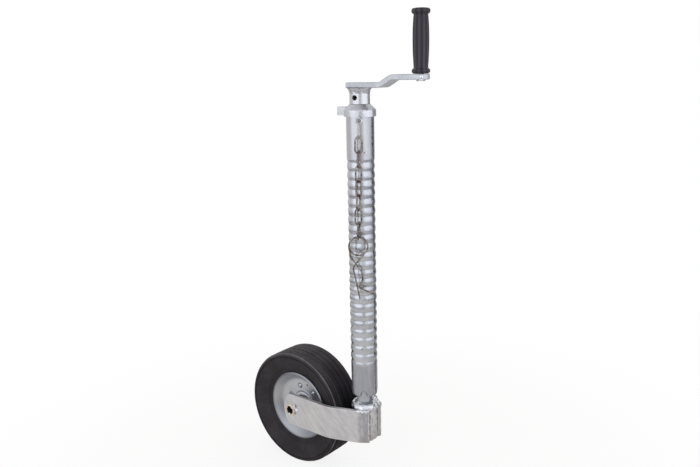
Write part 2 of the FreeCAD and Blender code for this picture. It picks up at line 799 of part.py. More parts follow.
def chain_eye(collar):
    """A ring on a short peg, welded to the collar, that the chain hangs from."""
    centre = Vector(0, 0, 0)
    lower = arc(Vector(-eye_radius, 0, 0), Vector(0, 0, -eye_radius), Vector(eye_radius, 0, 0))
    upper = arc(Vector(eye_radius, 0, 0), Vector(0, 0, eye_radius), Vector(-eye_radius, 0, 0))
    loop = wire_solid([lower, upper], link_wire_radius, Vector(0, 1, 0))
    peg_reach = chain_radius() - collar_radius + 2
    peg = Part.makeCylinder(link_wire_radius * 1.25, peg_reach + link_wire_radius,
                            centre + Vector(0, -link_wire_radius, eye_radius + link_wire_radius * 1.1),
                            Vector(0, 1, 0))
    eye = loop.fuse(peg)
    eye.Placement = front_frame(front_azimuth, chain_radius(), eye_height())
    return eye.cut(collar).cut(cylinder(tube_plain_radius, 0, tube_top)).removeSplitter()


def link():
    """One chain link standing upright, as a stadium of round wire."""
    half = link_inner_length / 2 + link_wire_radius - link_half_width
    width = link_half_width
    edges = [Part.LineSegment(Vector(width, 0, -half), Vector(width, 0, half)).toShape(),
             arc(Vector(width, 0, half), Vector(0, 0, half + width), Vector(-width, 0, half)),
             Part.LineSegment(Vector(-width, 0, half), Vector(-width, 0, -half)).toShape(),
             arc(Vector(-width, 0, -half), Vector(0, 0, -half - width), Vector(width, 0, -half))]
    return wire_solid(edges, link_wire_radius, Vector(0, 1, 0))


def link_centres():
    """How far the middle of each link hangs below the middle of the eye."""
    first = eye_radius - 2 * link_wire_radius - link_play + link_inner_length / 2 + link_wire_radius
    spacing = link_inner_length - link_play
    return [first + index * spacing for index in range(len(link_turns))]


def chain_place():
    """The chain's own frame: its origin in the eye, z up the chain, leaning a little sideways."""
    place = front_frame(front_azimuth, chain_radius(), eye_height())
    return place.multiply(Placement(Vector(), Rotation(Vector(0, 1, 0), chain_lean)))


def chain_links():
    links = []
    for turn, drop in zip(link_turns, link_centres()):
        piece = link()
        piece.rotate(Vector(), axis_up, turn)
        piece.translate(Vector(0, 0, -drop))
        piece.Placement = chain_place().multiply(piece.Placement)
        links.append(piece)
    return links


def clip_coil_depth(angle):
    """How far in towards the column the coil's wire is at an angle, which rises by a pitch per turn."""
    middle = (clip_coil_start + clip_coil_end) / 2
    return clip_coil_pitch * (angle - middle) / 360


def on_coil(angle):
    turn = math.radians(angle)
    return Vector(clip_coil_radius * math.cos(turn), clip_coil_depth(angle),
                  clip_coil_radius * math.sin(turn))


def spring_clip():
    """A spring clip of round wire: a straight leg, a coil and a bowed leg with a flared tail."""
    across = Vector(0, 1, 0)
    start, end = on_coil(clip_coil_start), on_coil(clip_coil_end)
    turn = math.radians(clip_coil_start)
    arriving = Vector(-math.sin(turn), 0, math.cos(turn))
    bend = Vector(-8.7, start.y, -clip_leg_bend)
    tip = Vector(3.6, start.y, -clip_leg_length)
    merge = 3.0
    corner = start - arriving * merge
    sweep = (corner - bend).getAngle(arriving)
    leg = path_edges(bent_path([tip, bend, corner, start], (10.0, merge / math.tan(sweep / 2) * 0.98),
                               across), across)
    step = (clip_coil_end - clip_coil_start) / clip_coil_arcs
    coil = []
    for index in range(clip_coil_arcs):
        angle = clip_coil_start + index * step
        coil.append(arc(on_coil(angle), on_coil(angle + step / 2), on_coil(angle + step)))
    bow = [end, Vector(end.x, end.y, -5.0), Vector(-12.5, end.y, -21.0), Vector(4.6, end.y, -43.3),
           Vector(8.5, end.y, -58.3), Vector(0.6, end.y, -74.5), Vector(clip_tail_reach, end.y, -85.6)]
    bowed = path_edges(bent_path(bow, (8.0, 15.0, 12.0, 14.0, 2.5), across), across)
    clip = wire_solid(leg + coil + bowed, clip_wire_radius, across)
    last = link_centres()[-1] + link_inner_length / 2 + link_wire_radius
    hang = last - link_wire_radius - clip_wire_radius - clip_play + clip_coil_radius
    clip.translate(Vector(0, 0, -hang))
    clip.Placement = chain_place().multiply(clip.Placement)
    return clip


def main():
    os.makedirs("parts", exist_ok=True)
    collar = head_collar()
    upper_race, cage, lower_race, shoulder_top = thrust_bearing()
    screw, stop = spindle(shoulder_top)
    save("outer_tube", outer_tube())
    save("head_collar", collar)
    save("thrust_race_upper", upper_race)
    save("thrust_cage", cage)
    save("thrust_race_lower", lower_race)
    save("spindle", screw)
    save("spindle_stop", stop)
    save("crank_hub", crank_hub())
    save("hub_weld", hub_weld())
    save("crank_arm", crank_arm())
    save("spring_pin", spring_pin())
    save("grip_pin", grip_pin())
    save("grip", grip())
    save("lower_guide", lower_guide())
    save("inner_tube", inner_tube())
    save("upper_guide", upper_guide())
    save("spindle_nut", spindle_nut())
    near = near_arm()
    far = far_side(near)
    socket = stem_socket()
    save("fork_arm_near", near)
    save("fork_arm_far", far)
    save("stem_socket", socket)
    save("fork_welds", *fork_welds((near, far), socket))
    save("stem_cup", stem_cup())
    save("lock_key", lock_key())
    save("axle", axle())
    spacer_near, spacer_far = axle_spacers()
    save("axle_spacer_near", spacer_near)
    save("axle_spacer_far", spacer_far)
    half_rim = rim_half()
    save("rim_far", half_rim)
    save("rim_near", far_side(half_rim))
    save("rim_rivets", *rim_rivets())
    save("tyre", tyre())
    outer_race, inner_race, seals = wheel_bearing()
    save("bearing_outer_race", outer_race)
    save("bearing_inner_race", inner_race)
    save("bearing_seals", *seals)
    save("chain_eye", chain_eye(collar))
    save("chain_links", *chain_links())
    save("spring_clip", spring_clip())


main()
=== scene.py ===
# %% [markdown]
# # A jockey wheel, dressed for its photograph
#
# A jockey wheel holds up the nose of a trailer. A ribbed steel column stands in a clamp, a crank
# at the top winds a tube in and out of it, and a fork at the foot carries a solid rubber wheel.
# The mechanical model is loaded first and stays fixed. This lesson gives every surface its
# finish, and rebuilds the pieces whose real shapes are softer or rougher than the solids.

# %% Load the mechanical model
from math import cos, degrees, exp, hypot, pi, radians, sin, sqrt, tan

import bmesh
import bpy
from mathutils import Matrix, Vector, noise


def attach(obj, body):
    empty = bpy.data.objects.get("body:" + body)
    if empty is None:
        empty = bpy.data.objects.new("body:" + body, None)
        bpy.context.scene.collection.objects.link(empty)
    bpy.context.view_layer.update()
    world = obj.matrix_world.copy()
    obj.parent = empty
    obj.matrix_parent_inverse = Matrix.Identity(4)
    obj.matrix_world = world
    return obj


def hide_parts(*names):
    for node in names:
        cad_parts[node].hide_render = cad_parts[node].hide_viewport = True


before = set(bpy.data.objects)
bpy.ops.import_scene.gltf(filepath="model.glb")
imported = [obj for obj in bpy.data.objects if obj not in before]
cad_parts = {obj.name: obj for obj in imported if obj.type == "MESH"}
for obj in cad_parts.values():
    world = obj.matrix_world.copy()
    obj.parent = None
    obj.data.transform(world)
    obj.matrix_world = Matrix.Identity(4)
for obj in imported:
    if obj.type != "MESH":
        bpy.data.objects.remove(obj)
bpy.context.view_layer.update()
scene = bpy.context.scene

# %% [markdown]
# The sizes below are in millimetres, with heights measured up from the ground, because that is
# how the real thing would be measured. Blender works in metres about the middle of the clamp's
# zone, so one helper turns a measured point into a Blender point.

# %% Sizes and places
MM = 0.001
CLAMP_HEIGHT = 414.9
WHEEL_TRAIL = 148.0
AXLE_HEIGHT = 110.0
TUBE_FOOT = 168.0
TUBE_RADIUS = 24.0
LOWER_RADIUS = 23.7
FRONT = 33
CRANK_REACH = 122.5
FLUTES = 10
FLUTE_TURN = radians(-52)
X, Y, Z = 0, 1, 2
X_AXIS, Y_AXIS, Z_AXIS = Vector((1, 0, 0)), Vector((0, 1, 0)), Vector((0, 0, 1))


def place(x, y, height):
    """A measured point in millimetres above the ground, as a point in metres."""
    return Vector((x, y, height - CLAMP_HEIGHT)) * MM


def outward(azimuth):
    """The direction away from the column, where 0 degrees is -Y and 90 degrees is +X."""
    angle = radians(azimuth)
    return Vector((sin(angle), -cos(angle), 0))


def around(azimuth, reach, height, x=0.0):
    """A point at an azimuth and a reach from the column's axis, or from a line beside it at x."""
    return place(x, 0, height) + outward(azimuth) * (reach * MM)


def turns(count):
    """The angles that divide a whole turn into equal steps."""
    return [2 * pi * step / count for step in range(count)]


def shares(count):
    """Even shares from 0 to 1, in that many steps."""
    return [step / count for step in range(count + 1)]


wheel_centre = place(-WHEEL_TRAIL, 0, AXLE_HEIGHT)
ground = place(0, 0, 0).z
print("the ground is at", round(ground, 4))


def by_axle(x, z, y=0.0):
    """A point measured in millimetres from the wheel's middle, in metres."""
    return wheel_centre + Vector((x, y, z)) * MM


# %% [markdown]
# The camera stands to the front and right, a little above the middle of the column, and looks
# slightly down. Its place came from fitting the column's two edges, the wheel's circles and the
# crank in the picture, so the sizes of near and far pieces agree with it.

# %% Camera
CAMERA_PLACE = Vector((0.7881, -1.0339, 0.3361))
CAMERA_YAW = radians(38.25)
CAMERA_PITCH = radians(12.3)
CAMERA_ROLL = -0.021


def add_object(name, data):
    """An object for a camera, a light or a mesh, linked into the scene."""
    made = bpy.data.objects.new(name, data)
    scene.collection.objects.link(made)
    return made


camera_data = bpy.data.cameras.new("camera")
camera_data.lens = 38.99
camera_data.sensor_width = 36
camera_data.clip_start = 0.05
camera = add_object("camera", camera_data)
camera.matrix_world = (Matrix.Translation(CAMERA_PLACE) @ Matrix.Rotation(CAMERA_YAW, 4, "Z")
                       @ Matrix.Rotation(pi / 2 - CAMERA_PITCH, 4, "X")
                       @ Matrix.Rotation(CAMERA_ROLL, 4, "Z"))
scene.camera = camera
print("the camera's lens is", round(camera_data.lens, 2), "mm")

# %% [markdown]
# Shader maths reads best as plain expressions. This small class holds one socket of a node
# tree, so that `1 - mask * 0.5` adds the Math nodes that do it. Every node is made by one method,
# which sets the node's settings first and then its inputs.

# %% Shader expressions
class Shade:
    """A socket of a material's node tree that ordinary operators work on."""

    def __init__(self, tree, socket=None):
        self.tree = tree
        self.socket = socket

    def node(self, kind, inputs=None, output=0, **settings):
        made = self.tree.nodes.new(kind)
        for name, value in settings.items():
            setattr(made, name, value)
        for key, value in (inputs or {}).items():
            socket = made.inputs[key]
            if isinstance(value, Shade):
                self.tree.links.new(value.socket, socket)
            else:
                socket.default_value = (*value, 1.0) if socket.type == "RGBA" else value
        return Shade(self.tree, made.outputs[output])

    def math(self, operation, *values):
        return self.node("ShaderNodeMath", dict(enumerate(values)), operation=operation)

    def __add__(self, other):
        return self.math("ADD", self, other)

    def __radd__(self, other):
        return self.math("ADD", other, self)

    def __sub__(self, other):
        return self.math("SUBTRACT", self, other)

    def __rsub__(self, other):
        return self.math("SUBTRACT", other, self)

    def __mul__(self, other):
        return self.math("MULTIPLY", self, other)

    def __rmul__(self, other):
        return self.math("MULTIPLY", other, self)

    def __abs__(self):
        return self.math("ABSOLUTE", self)

    def vector(self, operation, *others):
        """Vector maths on this value; a length or a dot product comes out as a number."""
        output = 1 if operation in ("LENGTH", "DOT_PRODUCT") else 0
        return self.node("ShaderNodeVectorMath", dict(enumerate((self, *others))), output,
                         operation=operation)

    def part(self, axis):
        """The x, y or z of this value."""
        return self.node("ShaderNodeSeparateXYZ", {0: self}, axis)

    def spread(self, low, high):
        """This value from low to high, spread over 0 to 1 and held there."""
        return self.node("ShaderNodeMapRange", {0: self, 1: low, 2: high, 3: 0.0, 4: 1.0},
                         interpolation_type="SMOOTHSTEP")

    def between(self, first, second):
        """The first colour where this value is 0 and the second where it is 1."""
        return self.node("ShaderNodeMix", {0: self, 6: first, 7: second}, 2, data_type="RGBA")


def strongest(masks):
    """The largest of several shares at each place."""
    largest = masks[0]
    for share in masks[1:]:
        largest = largest.math("MAXIMUM", largest, share)
    return largest


# %% [markdown]
# Every finish starts the same way: a material with one Principled shader, whose fixed numbers
# are set on its own sockets. Patterns are laid out in the object's own metres, so they keep
# their real size and stay put on a piece that moves.

# %% Starting a finish
def new_material(name):
    """A material with nodes, and its tree."""
    material = bpy.data.materials.new(name)
    material.use_nodes = True
    return material, material.node_tree


def start_finish(name, fixed):
    """A material whose shader has the fixed values, and the object's coordinates in its tree."""
    material, tree = new_material(name)
    for socket, value in fixed.items():
        tree.nodes["Principled BSDF"].inputs[socket].default_value = value
    print("finish:", name)
    return material, Shade(tree).node("ShaderNodeTexCoord", output="Object")


def clouds(where, size, detail=3.0, roughness=0.6, stretch=(1, 1, 1), turn=0.0):
    """Soft noise whose patches are about the given size in metres, turned and stretched."""
    if turn:
        where = where.node("ShaderNodeVectorRotate", {"Vector": where, "Angle": radians(turn)},
                           rotation_type="Y_AXIS")
    if stretch != (1, 1, 1):
        scale = tuple(1 / share for share in stretch)
        where = where.node("ShaderNodeMapping", {"Vector": where, "Scale": scale})
    return where.node("ShaderNodeTexNoise", {"Vector": where, "Scale": 1 / size, "Detail": detail,
                                             "Roughness": roughness})


def patched(where, colour, roughness, patches):
    """Lay patches over a skin: each gives a share, a tint and a change of roughness by place."""
    for patch in patches:
        share, tint, extra = patch(where)
        colour = share.between(colour, tint)
        roughness = roughness + share * extra
    return colour, roughness


def connect(material, colour, roughness, height, bump, depth):
    """Feed the changing colour, roughness and height into the shader's sockets."""
    bumped = height.node("ShaderNodeBump", {"Strength": bump, "Distance": depth, "Height": height})
    tree = material.node_tree
    for name, value in (("Base Color", colour), ("Roughness", roughness), ("Normal", bumped)):
        tree.links.new(value.socket, tree.nodes["Principled BSDF"].inputs[name])
    return material


# %% [markdown]
# Most of the steel is hot-dip galvanised. Molten zinc leaves a cloudy grey skin: pale where it
# ran thick, darker where it drained, with a faint grain of crystals and small drips. The same
# recipe gives the glossier column and the duller bars, by changing its tones and its roughness.
# Patches then mark the places that differ: the seam, pits, scale and stains, a darker foot, and
# painted shade on the seam's side, at the notches' edges, in the weld's furrows and on the bar's wrapped
# end.

# %% Galvanised steel
RIB_ZONE = 0.180
SEAM_AZIMUTH = 96
SEAM_SHADE_AZIMUTH = 122
NOTCH_CROWN = TUBE_FOOT + 6.0
SCALE_SPOTS = ((15.6, 12.0, 0.0050), (13.2, -3.4, 0.0042), (12.6, 3.0, 0.0030))


def galvanised(name, pale, dark, rough, metal=1.0, grain=0.25, stretch=(1, 1, 1), stain=0.0,
               runs=0.0, bump=0.15, hammer=0.3, patches=()):
    """A zinc skin with large clouds, small crystals, slanting runs, dimples and brown stains."""
    material, where = start_finish(name, {"Metallic": metal})
    broad = clouds(where, 0.030, 4.0, stretch=stretch).spread(0.32, 0.68)
    crystals = where.node("ShaderNodeTexVoronoi", {"Vector": where, "Scale": 260.0}, "Color")
    tone = where.node("ShaderNodeSeparateColor", {0: crystals})
    fine = clouds(where, 0.0016, 4.0, 0.65)
    mask = broad * (1 - grain) + tone * (grain * 0.6) + fine.spread(0.35, 0.7) * (grain * 0.4)
    if runs:
        drained = clouds(where, 0.005, 3.0, 0.55, (1, 1, 10), 42.0).spread(0.36, 0.64)
        mask = mask * (1 - runs) + drained * runs
    colour = mask.between(dark, pale)
    if stain:
        spots = clouds(where, 0.010, 5.0, 0.7).spread(0.60, 0.80)
        colour = (spots * stain).between(colour, (0.34, 0.29, 0.24))
    roughness = broad * 0.10 + fine * 0.10 + (rough - 0.10)
    dimples = clouds(where, 0.0045, 2.0, 0.5)
    height = clouds(where, 0.009, 2.0, 0.5) + dimples * hammer + fine * 0.2
    return connect(material, *patched(where, colour, roughness, patches), height, bump, 0.0008)


def apart(where, point, along=(1, 1, 1)):
    """How far a place is from a point, counting only the directions named in along."""
    return where.vector("SUBTRACT", tuple(point)).vector("MULTIPLY", along).vector("LENGTH")


def towards(where, azimuth):
    """How nearly a place on the tube faces an azimuth: 1 straight at it, -1 away from it."""
    level = where.vector("MULTIPLY", (1, 1, 0)).vector("NORMALIZE")
    return level.vector("DOT_PRODUCT", tuple(outward(azimuth)))


def streaks(where, size, length, low=0.3, high=0.7):
    """Upright streaks of a width in metres, that many times as long."""
    return clouds(where, size, 4.0, stretch=(1, 1, length)).spread(low, high)


def upper_tube(where):
    """The plain length under the collar: rougher, where the dipped tube drained last."""
    share = where.part(Z).spread(RIB_ZONE, RIB_ZONE + 0.015)
    return share * (0.25 + streaks(where, 0.004, 5) * 0.55), (0.43, 0.435, 0.455), 0.08


def lower_tube(where):
    """The plain length under the ribs: bluer and duller, with upright streaks."""
    share = 1 - where.part(Z).spread(-RIB_ZONE - 0.010, -RIB_ZONE)
    return share * (0.5 + streaks(where, 0.006, 7) * 0.5), (0.31, 0.32, 0.355), 0.06


def painted_side_shade(where):
    """Painted shade down the tube's side that faces azimuth 122, past its weld seam: darker, in uneven
    streaks, and a little rougher.
    """
    share = towards(where, SEAM_SHADE_AZIMUTH).spread(0.25, 0.95)
    uneven = 0.25 + streaks(where, 0.005, 6, 0.25, 0.75) * 0.45
    return share * uneven, (0.17, 0.165, 0.175), 0.05


def seam_pits(where):
    """The tube's weld seam: a dark line with small pits along it."""
    facing = towards(where, SEAM_AZIMUTH)
    pits = clouds(where, 0.0035, stretch=(1, 1, 1.6)).spread(0.50, 0.62)
    share = facing.spread(0.985, 0.996) * pits * 0.8 + facing.spread(0.994, 0.999) * 0.3
    return share.math("MINIMUM", share, 1.0), (0.035, 0.03, 0.035), 0.2


def notch_edge_shade(where):
    """Painted shade along the edge of each arched notch that the foot of the tube is punched with."""
    crowns = [around(FRONT + 90 * quarter, LOWER_RADIUS, NOTCH_CROWN) for quarter in range(4)]
    share = strongest([1 - apart(where, crown).spread(0.0056, 0.0068) for crown in crowns])
    return share * 0.75, (0.08, 0.08, 0.10), 0.1


def rust_specks(where):
    """A few small brown specks where the zinc has a pinhole."""
    return clouds(where, 0.008, 1.0, 0.4).spread(0.76, 0.80) * 0.8, (0.16, 0.09, 0.05), 0.2


def weld_pits(where):
    """Dark pin-holes and cracks that the zinc left open along a weld."""
    pits = clouds(where, 0.004, 4.0, 0.65, (1, 1, 1.8)).spread(0.62, 0.68)
    return pits * 0.9, (0.06, 0.052, 0.05), 0.15


def seam_groove_shade(where):
    """Painted shade in the furrow at each side of the weld metal between the arms' ends."""
    off = abs(abs(where.part(Y)) + clouds(where, 0.010) * 0.002 - 0.0125)
    return (1 - off.spread(0.0003, 0.0014)) * 0.85, (0.05, 0.045, 0.045), 0.15


def punch_dirt(where):
    """Dark scale on the arms, where the axle's ends were struck over."""
    share = strongest([1 - apart(where, by_axle(x, z), (1, 0, 1)).spread(size * 0.3, size)
                       for x, z, size in SCALE_SPOTS])
    return share * clouds(where, 0.0025).spread(0.30, 0.55), (0.13, 0.105, 0.09), 0.1


def foot_darkening(where):
    """The bottom of the fork's head on the side away from the wheel, darker and browner towards the bottom.
    """
    low = 1 - (where.part(Z) + clouds(where, 0.012) * 0.012).spread(-0.326, -0.308)
    return low * where.part(X).spread(0.004, 0.012) * 0.55, (0.25, 0.235, 0.215), 0.05


def wrapped_end_shade(where):
    """Painted shade on the bar's end round the socket: darker and bluer, in uneven streaks, and smoother.
    """
    share = (where.part(X) + clouds(where, 0.008) * 0.006).spread(0.005, 0.013)
    return share * (0.45 + streaks(where, 0.006, 3) * 0.55), (0.28, 0.28, 0.30), -0.10


column_zinc = galvanised(
    "column_zinc", (0.50, 0.515, 0.555), (0.40, 0.413, 0.450), 0.31, bump=0.26, hammer=0.9,
    patches=(upper_tube, lower_tube, painted_side_shade, seam_pits, notch_edge_shade, rust_specks))
inner_zinc = galvanised("inner_zinc", (0.40, 0.41, 0.44), (0.33, 0.34, 0.37), 0.44, 0.6)
head_zinc = galvanised(
    "head_zinc", (0.55, 0.56, 0.595), (0.43, 0.435, 0.465), 0.34, bump=0.5, hammer=1.2)
hub_zinc = galvanised(
    "hub_zinc", (0.53, 0.54, 0.57), (0.46, 0.465, 0.49), 0.31, grain=0.12, bump=0.2, hammer=0.4)
arm_zinc = galvanised(
    "arm_zinc", (0.505, 0.515, 0.55), (0.37, 0.38, 0.41), 0.44, 0.7, grain=0.2, bump=0.3,
    hammer=0.6)
bar_zinc = galvanised(
    "bar_zinc", (0.55, 0.54, 0.545), (0.41, 0.40, 0.41), 0.46, 0.65, grain=0.2,
    stretch=(2.2, 1, 0.7), stain=0.35, runs=0.5, bump=0.3,
    patches=(wrapped_end_shade, punch_dirt, foot_darkening))
cup_zinc = galvanised(
    "cup_zinc", (0.72, 0.735, 0.77), (0.43, 0.44, 0.48), 0.32, grain=0.35, bump=0.5, hammer=0.8)
weld_zinc = galvanised(
    "weld_zinc", (0.56, 0.555, 0.56), (0.36, 0.355, 0.36), 0.40, 0.8, grain=0.35, stain=0.3,
    bump=0.4, hammer=0.8, patches=(weld_pits, seam_groove_shade, foot_darkening))
flow_zinc = galvanised(
    "flow_zinc", (0.64, 0.645, 0.67), (0.36, 0.36, 0.38), 0.36, 0.9, grain=0.35, bump=0.5,
    hammer=0.8, patches=(weld_pits,))

# %% [markdown]
# The rim is pressed from sheet and zinc-plated, so it is smoother and bluer than the dipped
# parts, with painted shade at its rolled edge and round its rivets. Turned steel, wire, brass and
# nylon each get their own small recipe, and two dark ones are painted shade: one for the races
# and spacers deep in the hub, one for the sunken spring pin and the axle's bore.

# %% Plated, turned and moulded finishes
RIVETS = 6
RIVET_START = radians(46)
RIVET_CIRCLE = 34.5
RIVET_EDGE = 0.0051


def plated(name, pale, dark, rough, metal=1.0, size=0.02, change=0.08, patches=()):
    """Smooth plating with slow changes of tone, a little fine grain, and patches."""
    material, where = start_finish(name, {"Metallic": metal})
    broad = clouds(where, size, roughness=0.5).spread(0.3, 0.7)
    fine = clouds(where, 0.0012)
    roughness = broad * change + fine * change + (rough - change)
    colour, roughness = patched(where, broad.between(dark, pale), roughness, patches)
    return connect(material, colour, roughness, fine, change * 1.5, 0.0003)


def rim_edge_shade(where):
    """Painted shade on the rim's rolled edge next to the tyre, which is also a little rougher."""
    radius = apart(where, wheel_centre, (1, 0, 1))
    return radius.spread(0.0625, 0.0645) * 0.75, (0.22, 0.22, 0.24), 0.12


def rivet_shade_rings(where):
    """Painted shade: a dark line round each rivet's head."""
    rings = []
    for angle in turns(RIVETS):
        spot = by_axle(RIVET_CIRCLE * cos(angle + RIVET_START),
                       RIVET_CIRCLE * sin(angle + RIVET_START))
        rings.append(1 - abs(apart(where, spot, (1, 0, 1)) - RIVET_EDGE).spread(0.0004, 0.0013))
    return strongest(rings) * 0.7, (0.10, 0.10, 0.12), 0.1


def first_link(where):
    """The chain's first link, still bright from the bath that the eye was dipped in."""
    return where.part(Z).spread(0.214, 0.224) * 0.6, (0.52, 0.50, 0.47), 0.08


def moulded(name, pale, dark, rough):
    """Moulded rubber or nylon: one tone with a faint bloom and a fine skin."""
    material, where = start_finish(name, {"Metallic": 0.0, "Specular IOR Level": 0.3})
    broad = clouds(where, 0.032, 4.0).spread(0.35, 0.7)
    roughness = broad * 0.10 + (rough - 0.05)
    return connect(material, broad.between(dark, pale), roughness, clouds(where, 0.0008), 0.2, 0.0002)


rim_zinc = plated(
    "rim_zinc", (0.465, 0.475, 0.51), (0.395, 0.405, 0.435), 0.40, 0.9, size=0.05, change=0.04,
    patches=(rim_edge_shade, rivet_shade_rings))
turned_steel = plated("turned_steel", (0.62, 0.63, 0.66), (0.48, 0.49, 0.52), 0.28)
# Painted shade: the bearing's races and the axle's spacers sit deep in the hub and get a dark tone.
hub_recess_shade = plated("hub_recess_shade", (0.17, 0.17, 0.18), (0.09, 0.09, 0.10), 0.42)
axle_plating = plated("axle_plating", (0.74, 0.66, 0.54), (0.42, 0.34, 0.25), 0.34, size=0.003)
stake_zinc = plated("stake_zinc", (0.74, 0.75, 0.78), (0.52, 0.53, 0.56), 0.34, 0.8, size=0.003)
wire_steel = plated(
    "wire_steel", (0.30, 0.26, 0.23), (0.06, 0.05, 0.045), 0.22, 0.95, size=0.004,
    patches=(first_link,))
# Painted shade: the sunken spring pin and the inside of the axle's bore get a near-black tone.
pin_and_bore_shade = plated("pin_and_bore_shade", (0.05, 0.05, 0.05), (0.02, 0.02, 0.02), 0.6, 0.5)
nut_brass = plated("nut_brass", (0.70, 0.54, 0.28), (0.55, 0.41, 0.20), 0.35)
guide_nylon = moulded("guide_nylon", (0.05, 0.05, 0.05), (0.03, 0.03, 0.03), 0.5)
seal_rubber = moulded("seal_rubber", (0.03, 0.03, 0.03), (0.02, 0.02, 0.02), 0.6)

# %% [markdown]
# The grip and the tyre carry painted light. The edges of the grip's flutes get a painted
# highlight and the flutes painted shade. The tyre's shoulder, the edges of its grooves and its
# fine ribs get pale painted highlights, the top of the tread a painted highlight and sheen, and
# the part of the tread that faces the ground painted shade.

# %% Grip and tyre finishes
TREAD_EDGE = (0.1035, 0.1065)
SHOULDER_CREST = 0.1082
GROOVE_EDGE = 0.0178
SHOULDER_RIBS = 0.0218
SHOULDER_RIB_STEP = 0.0016


def grip_skin():
    """Moulded plastic, with a painted highlight along the edges of the flutes and painted shade inside
    them.
    """
    material, where = start_finish("grip_plastic", {"Metallic": 0.0, "Specular IOR Level": 0.34})
    away = where.vector("SUBTRACT", (CRANK_REACH * MM, 0, 0))
    angle = where.math("ARCTAN2", away.part(Y), away.part(X)) - FLUTE_TURN
    valley = where.math("COSINE", angle * float(FLUTES))
    wander = clouds(where, 0.012, stretch=(1, 1, 4)).spread(0.3, 0.7)
    # Painted light: paler and smoother along the flutes' edges, near black inside the flutes.
    painted_highlight = (1 - valley.spread(-0.55, 0.75)) * (0.55 + wander * 0.45)
    colour = painted_highlight.between((0.0085, 0.0055, 0.010), (0.038, 0.029, 0.043))
    return connect(material, colour, 0.46 - painted_highlight * 0.14, clouds(where, 0.0006), 0.15, 0.0002)


def tyre_skin():
    """Solid rubber with faint rings and fine lines; painted highlights and sheen on the tread, painted
    shade below.
    """
    material, where = start_finish("tyre_rubber", {
        "Metallic": 0.0, "Specular IOR Level": 0.02, "Coat Roughness": 0.45})
    away = where.vector("SUBTRACT", tuple(wheel_centre))
    radius = away.vector("MULTIPLY", (1, 0, 1)).vector("LENGTH")
    across = away.part(Y)
    aside = abs(across)
    lines = clouds(where.node("ShaderNodeCombineXYZ", {0: radius, 1: across}), 0.0022)
    broad = clouds(where, 0.032, 4.0).spread(0.35, 0.7)
    fine = clouds(where, 0.0008)
    tread = radius.spread(*TREAD_EDGE)
    facing_up = away.vector("DOT_PRODUCT", (-3.0, 0, 8.5))
    # Painted highlight on the top of the tread, broken up by noise and fine lines.
    top_light_breakup = 0.2 + broad * 0.4 + lines.spread(0.42, 0.62) * 0.4
    painted_top_light = tread * top_light_breakup * (0.12 + facing_up.spread(0.55, 0.95))
    colour = broad.between((0.034, 0.030, 0.032), (0.047, 0.042, 0.045))
    colour = (painted_top_light * 0.5).between(colour, (0.085, 0.078, 0.080))
    unlit = tread * (1 - facing_up.spread(0.0, 0.75)) * 0.75
    colour = unlit.between(colour, (0.008, 0.007, 0.008))
    ripple = where.math("COSINE", (aside - SHOULDER_RIBS) * (2 * pi / SHOULDER_RIB_STEP))
    # Painted highlights: pale lines on the shoulder's fine ribs, along the shoulder's crest and at the
    # edges of the grooves.
    ribs = ripple.spread(0.1, 0.9) * tread * aside.spread(0.0205, 0.0212)
    crest = (radius - SHOULDER_CREST) * 1200.0
    shoulder = (1 - (crest * crest).spread(0.2, 1.1)) * aside.spread(0.028, 0.031)
    groove_rim = (1 - abs(aside - GROOVE_EDGE).spread(0.0003, 0.0010)) * tread
    painted_highlight = strongest([shoulder, groove_rim * 0.6])
    pale = ribs * (1 - unlit) * 0.42 + painted_highlight * (0.35 + broad * 0.55)
    colour = pale.between(colour, (0.15, 0.14, 0.145))
    tree = material.node_tree
    # The coat follows the painted top light, as a sheen on the top of the tread.
    tree.links.new((painted_top_light * 0.22).socket, tree.nodes["Principled BSDF"].inputs["Coat Weight"])
    return connect(material, colour, broad * 0.10 + 0.55, fine * 0.5 + lines * 0.5, 0.4, 0.0004)


grip_plastic = grip_skin()
tyre_rubber = tyre_skin()

# %% [markdown]
# The pieces whose solids are already right keep them. Each one gets its finish in its material
# slots, and nothing else about it changes.

# %% Finishes for the solids that stay
NODES_BY_FINISH = (
    (column_zinc, "outer_tube"),
    (head_zinc, "head_collar hub_weld chain_eye"),
    (hub_zinc, "crank_hub"),
    (arm_zinc, "crank_arm"),
    (bar_zinc, "fork_arm_near fork_arm_far stem_socket"),
    (weld_zinc, "fork_welds stem_cup lock_key"),
    (inner_zinc, "inner_tube lower_guide"),
    (turned_steel, "spindle spindle_stop grip_pin thrust_race_upper thrust_race_lower axle"),
    (hub_recess_shade, "axle_spacer_near axle_spacer_far bearing_inner_race bearing_outer_race"),
    (rim_zinc, "rim_near rim_far rim_rivets"),
    (nut_brass, "thrust_cage spindle_nut"),
    (wire_steel, "chain_links spring_clip"),
    (pin_and_bore_shade, "spring_pin"),
    (guide_nylon, "upper_guide"),
    (seal_rubber, "bearing_seals"),
    (grip_plastic, "grip"),
    (tyre_rubber, "tyre"),
)
for finish, names in NODES_BY_FINISH:
    for name in names.split():
        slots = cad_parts[name].data.materials
        for index in range(len(slots)):
            slots[index] = finish
        if not len(slots):
            slots.append(finish)
    print(finish.name, "on", names)

# %% [markdown]
# Two tools make most of the rebuilt pieces. One turns an outline about a line, as a lathe does.
# The other sweeps a round section along a path, as wire is bent. Both only write plain rings of
# points, so any ring can be dented or swollen on its way.

# %% A lathe and a wire bender
SHARP = radians(40)


def make_mesh(name, points, faces):
    mesh = bpy.data.meshes.new(name)
    mesh.from_pydata([tuple(point) for point in points], [], faces)
    return mesh


def face_outward(mesh):
    """Turn every face of a mesh so that its front is on the outside."""
    shell = bmesh.new()
    shell.from_mesh(mesh)
    bmesh.ops.recalc_face_normals(shell, faces=shell.faces)
    shell.to_mesh(mesh)
    shell.free()


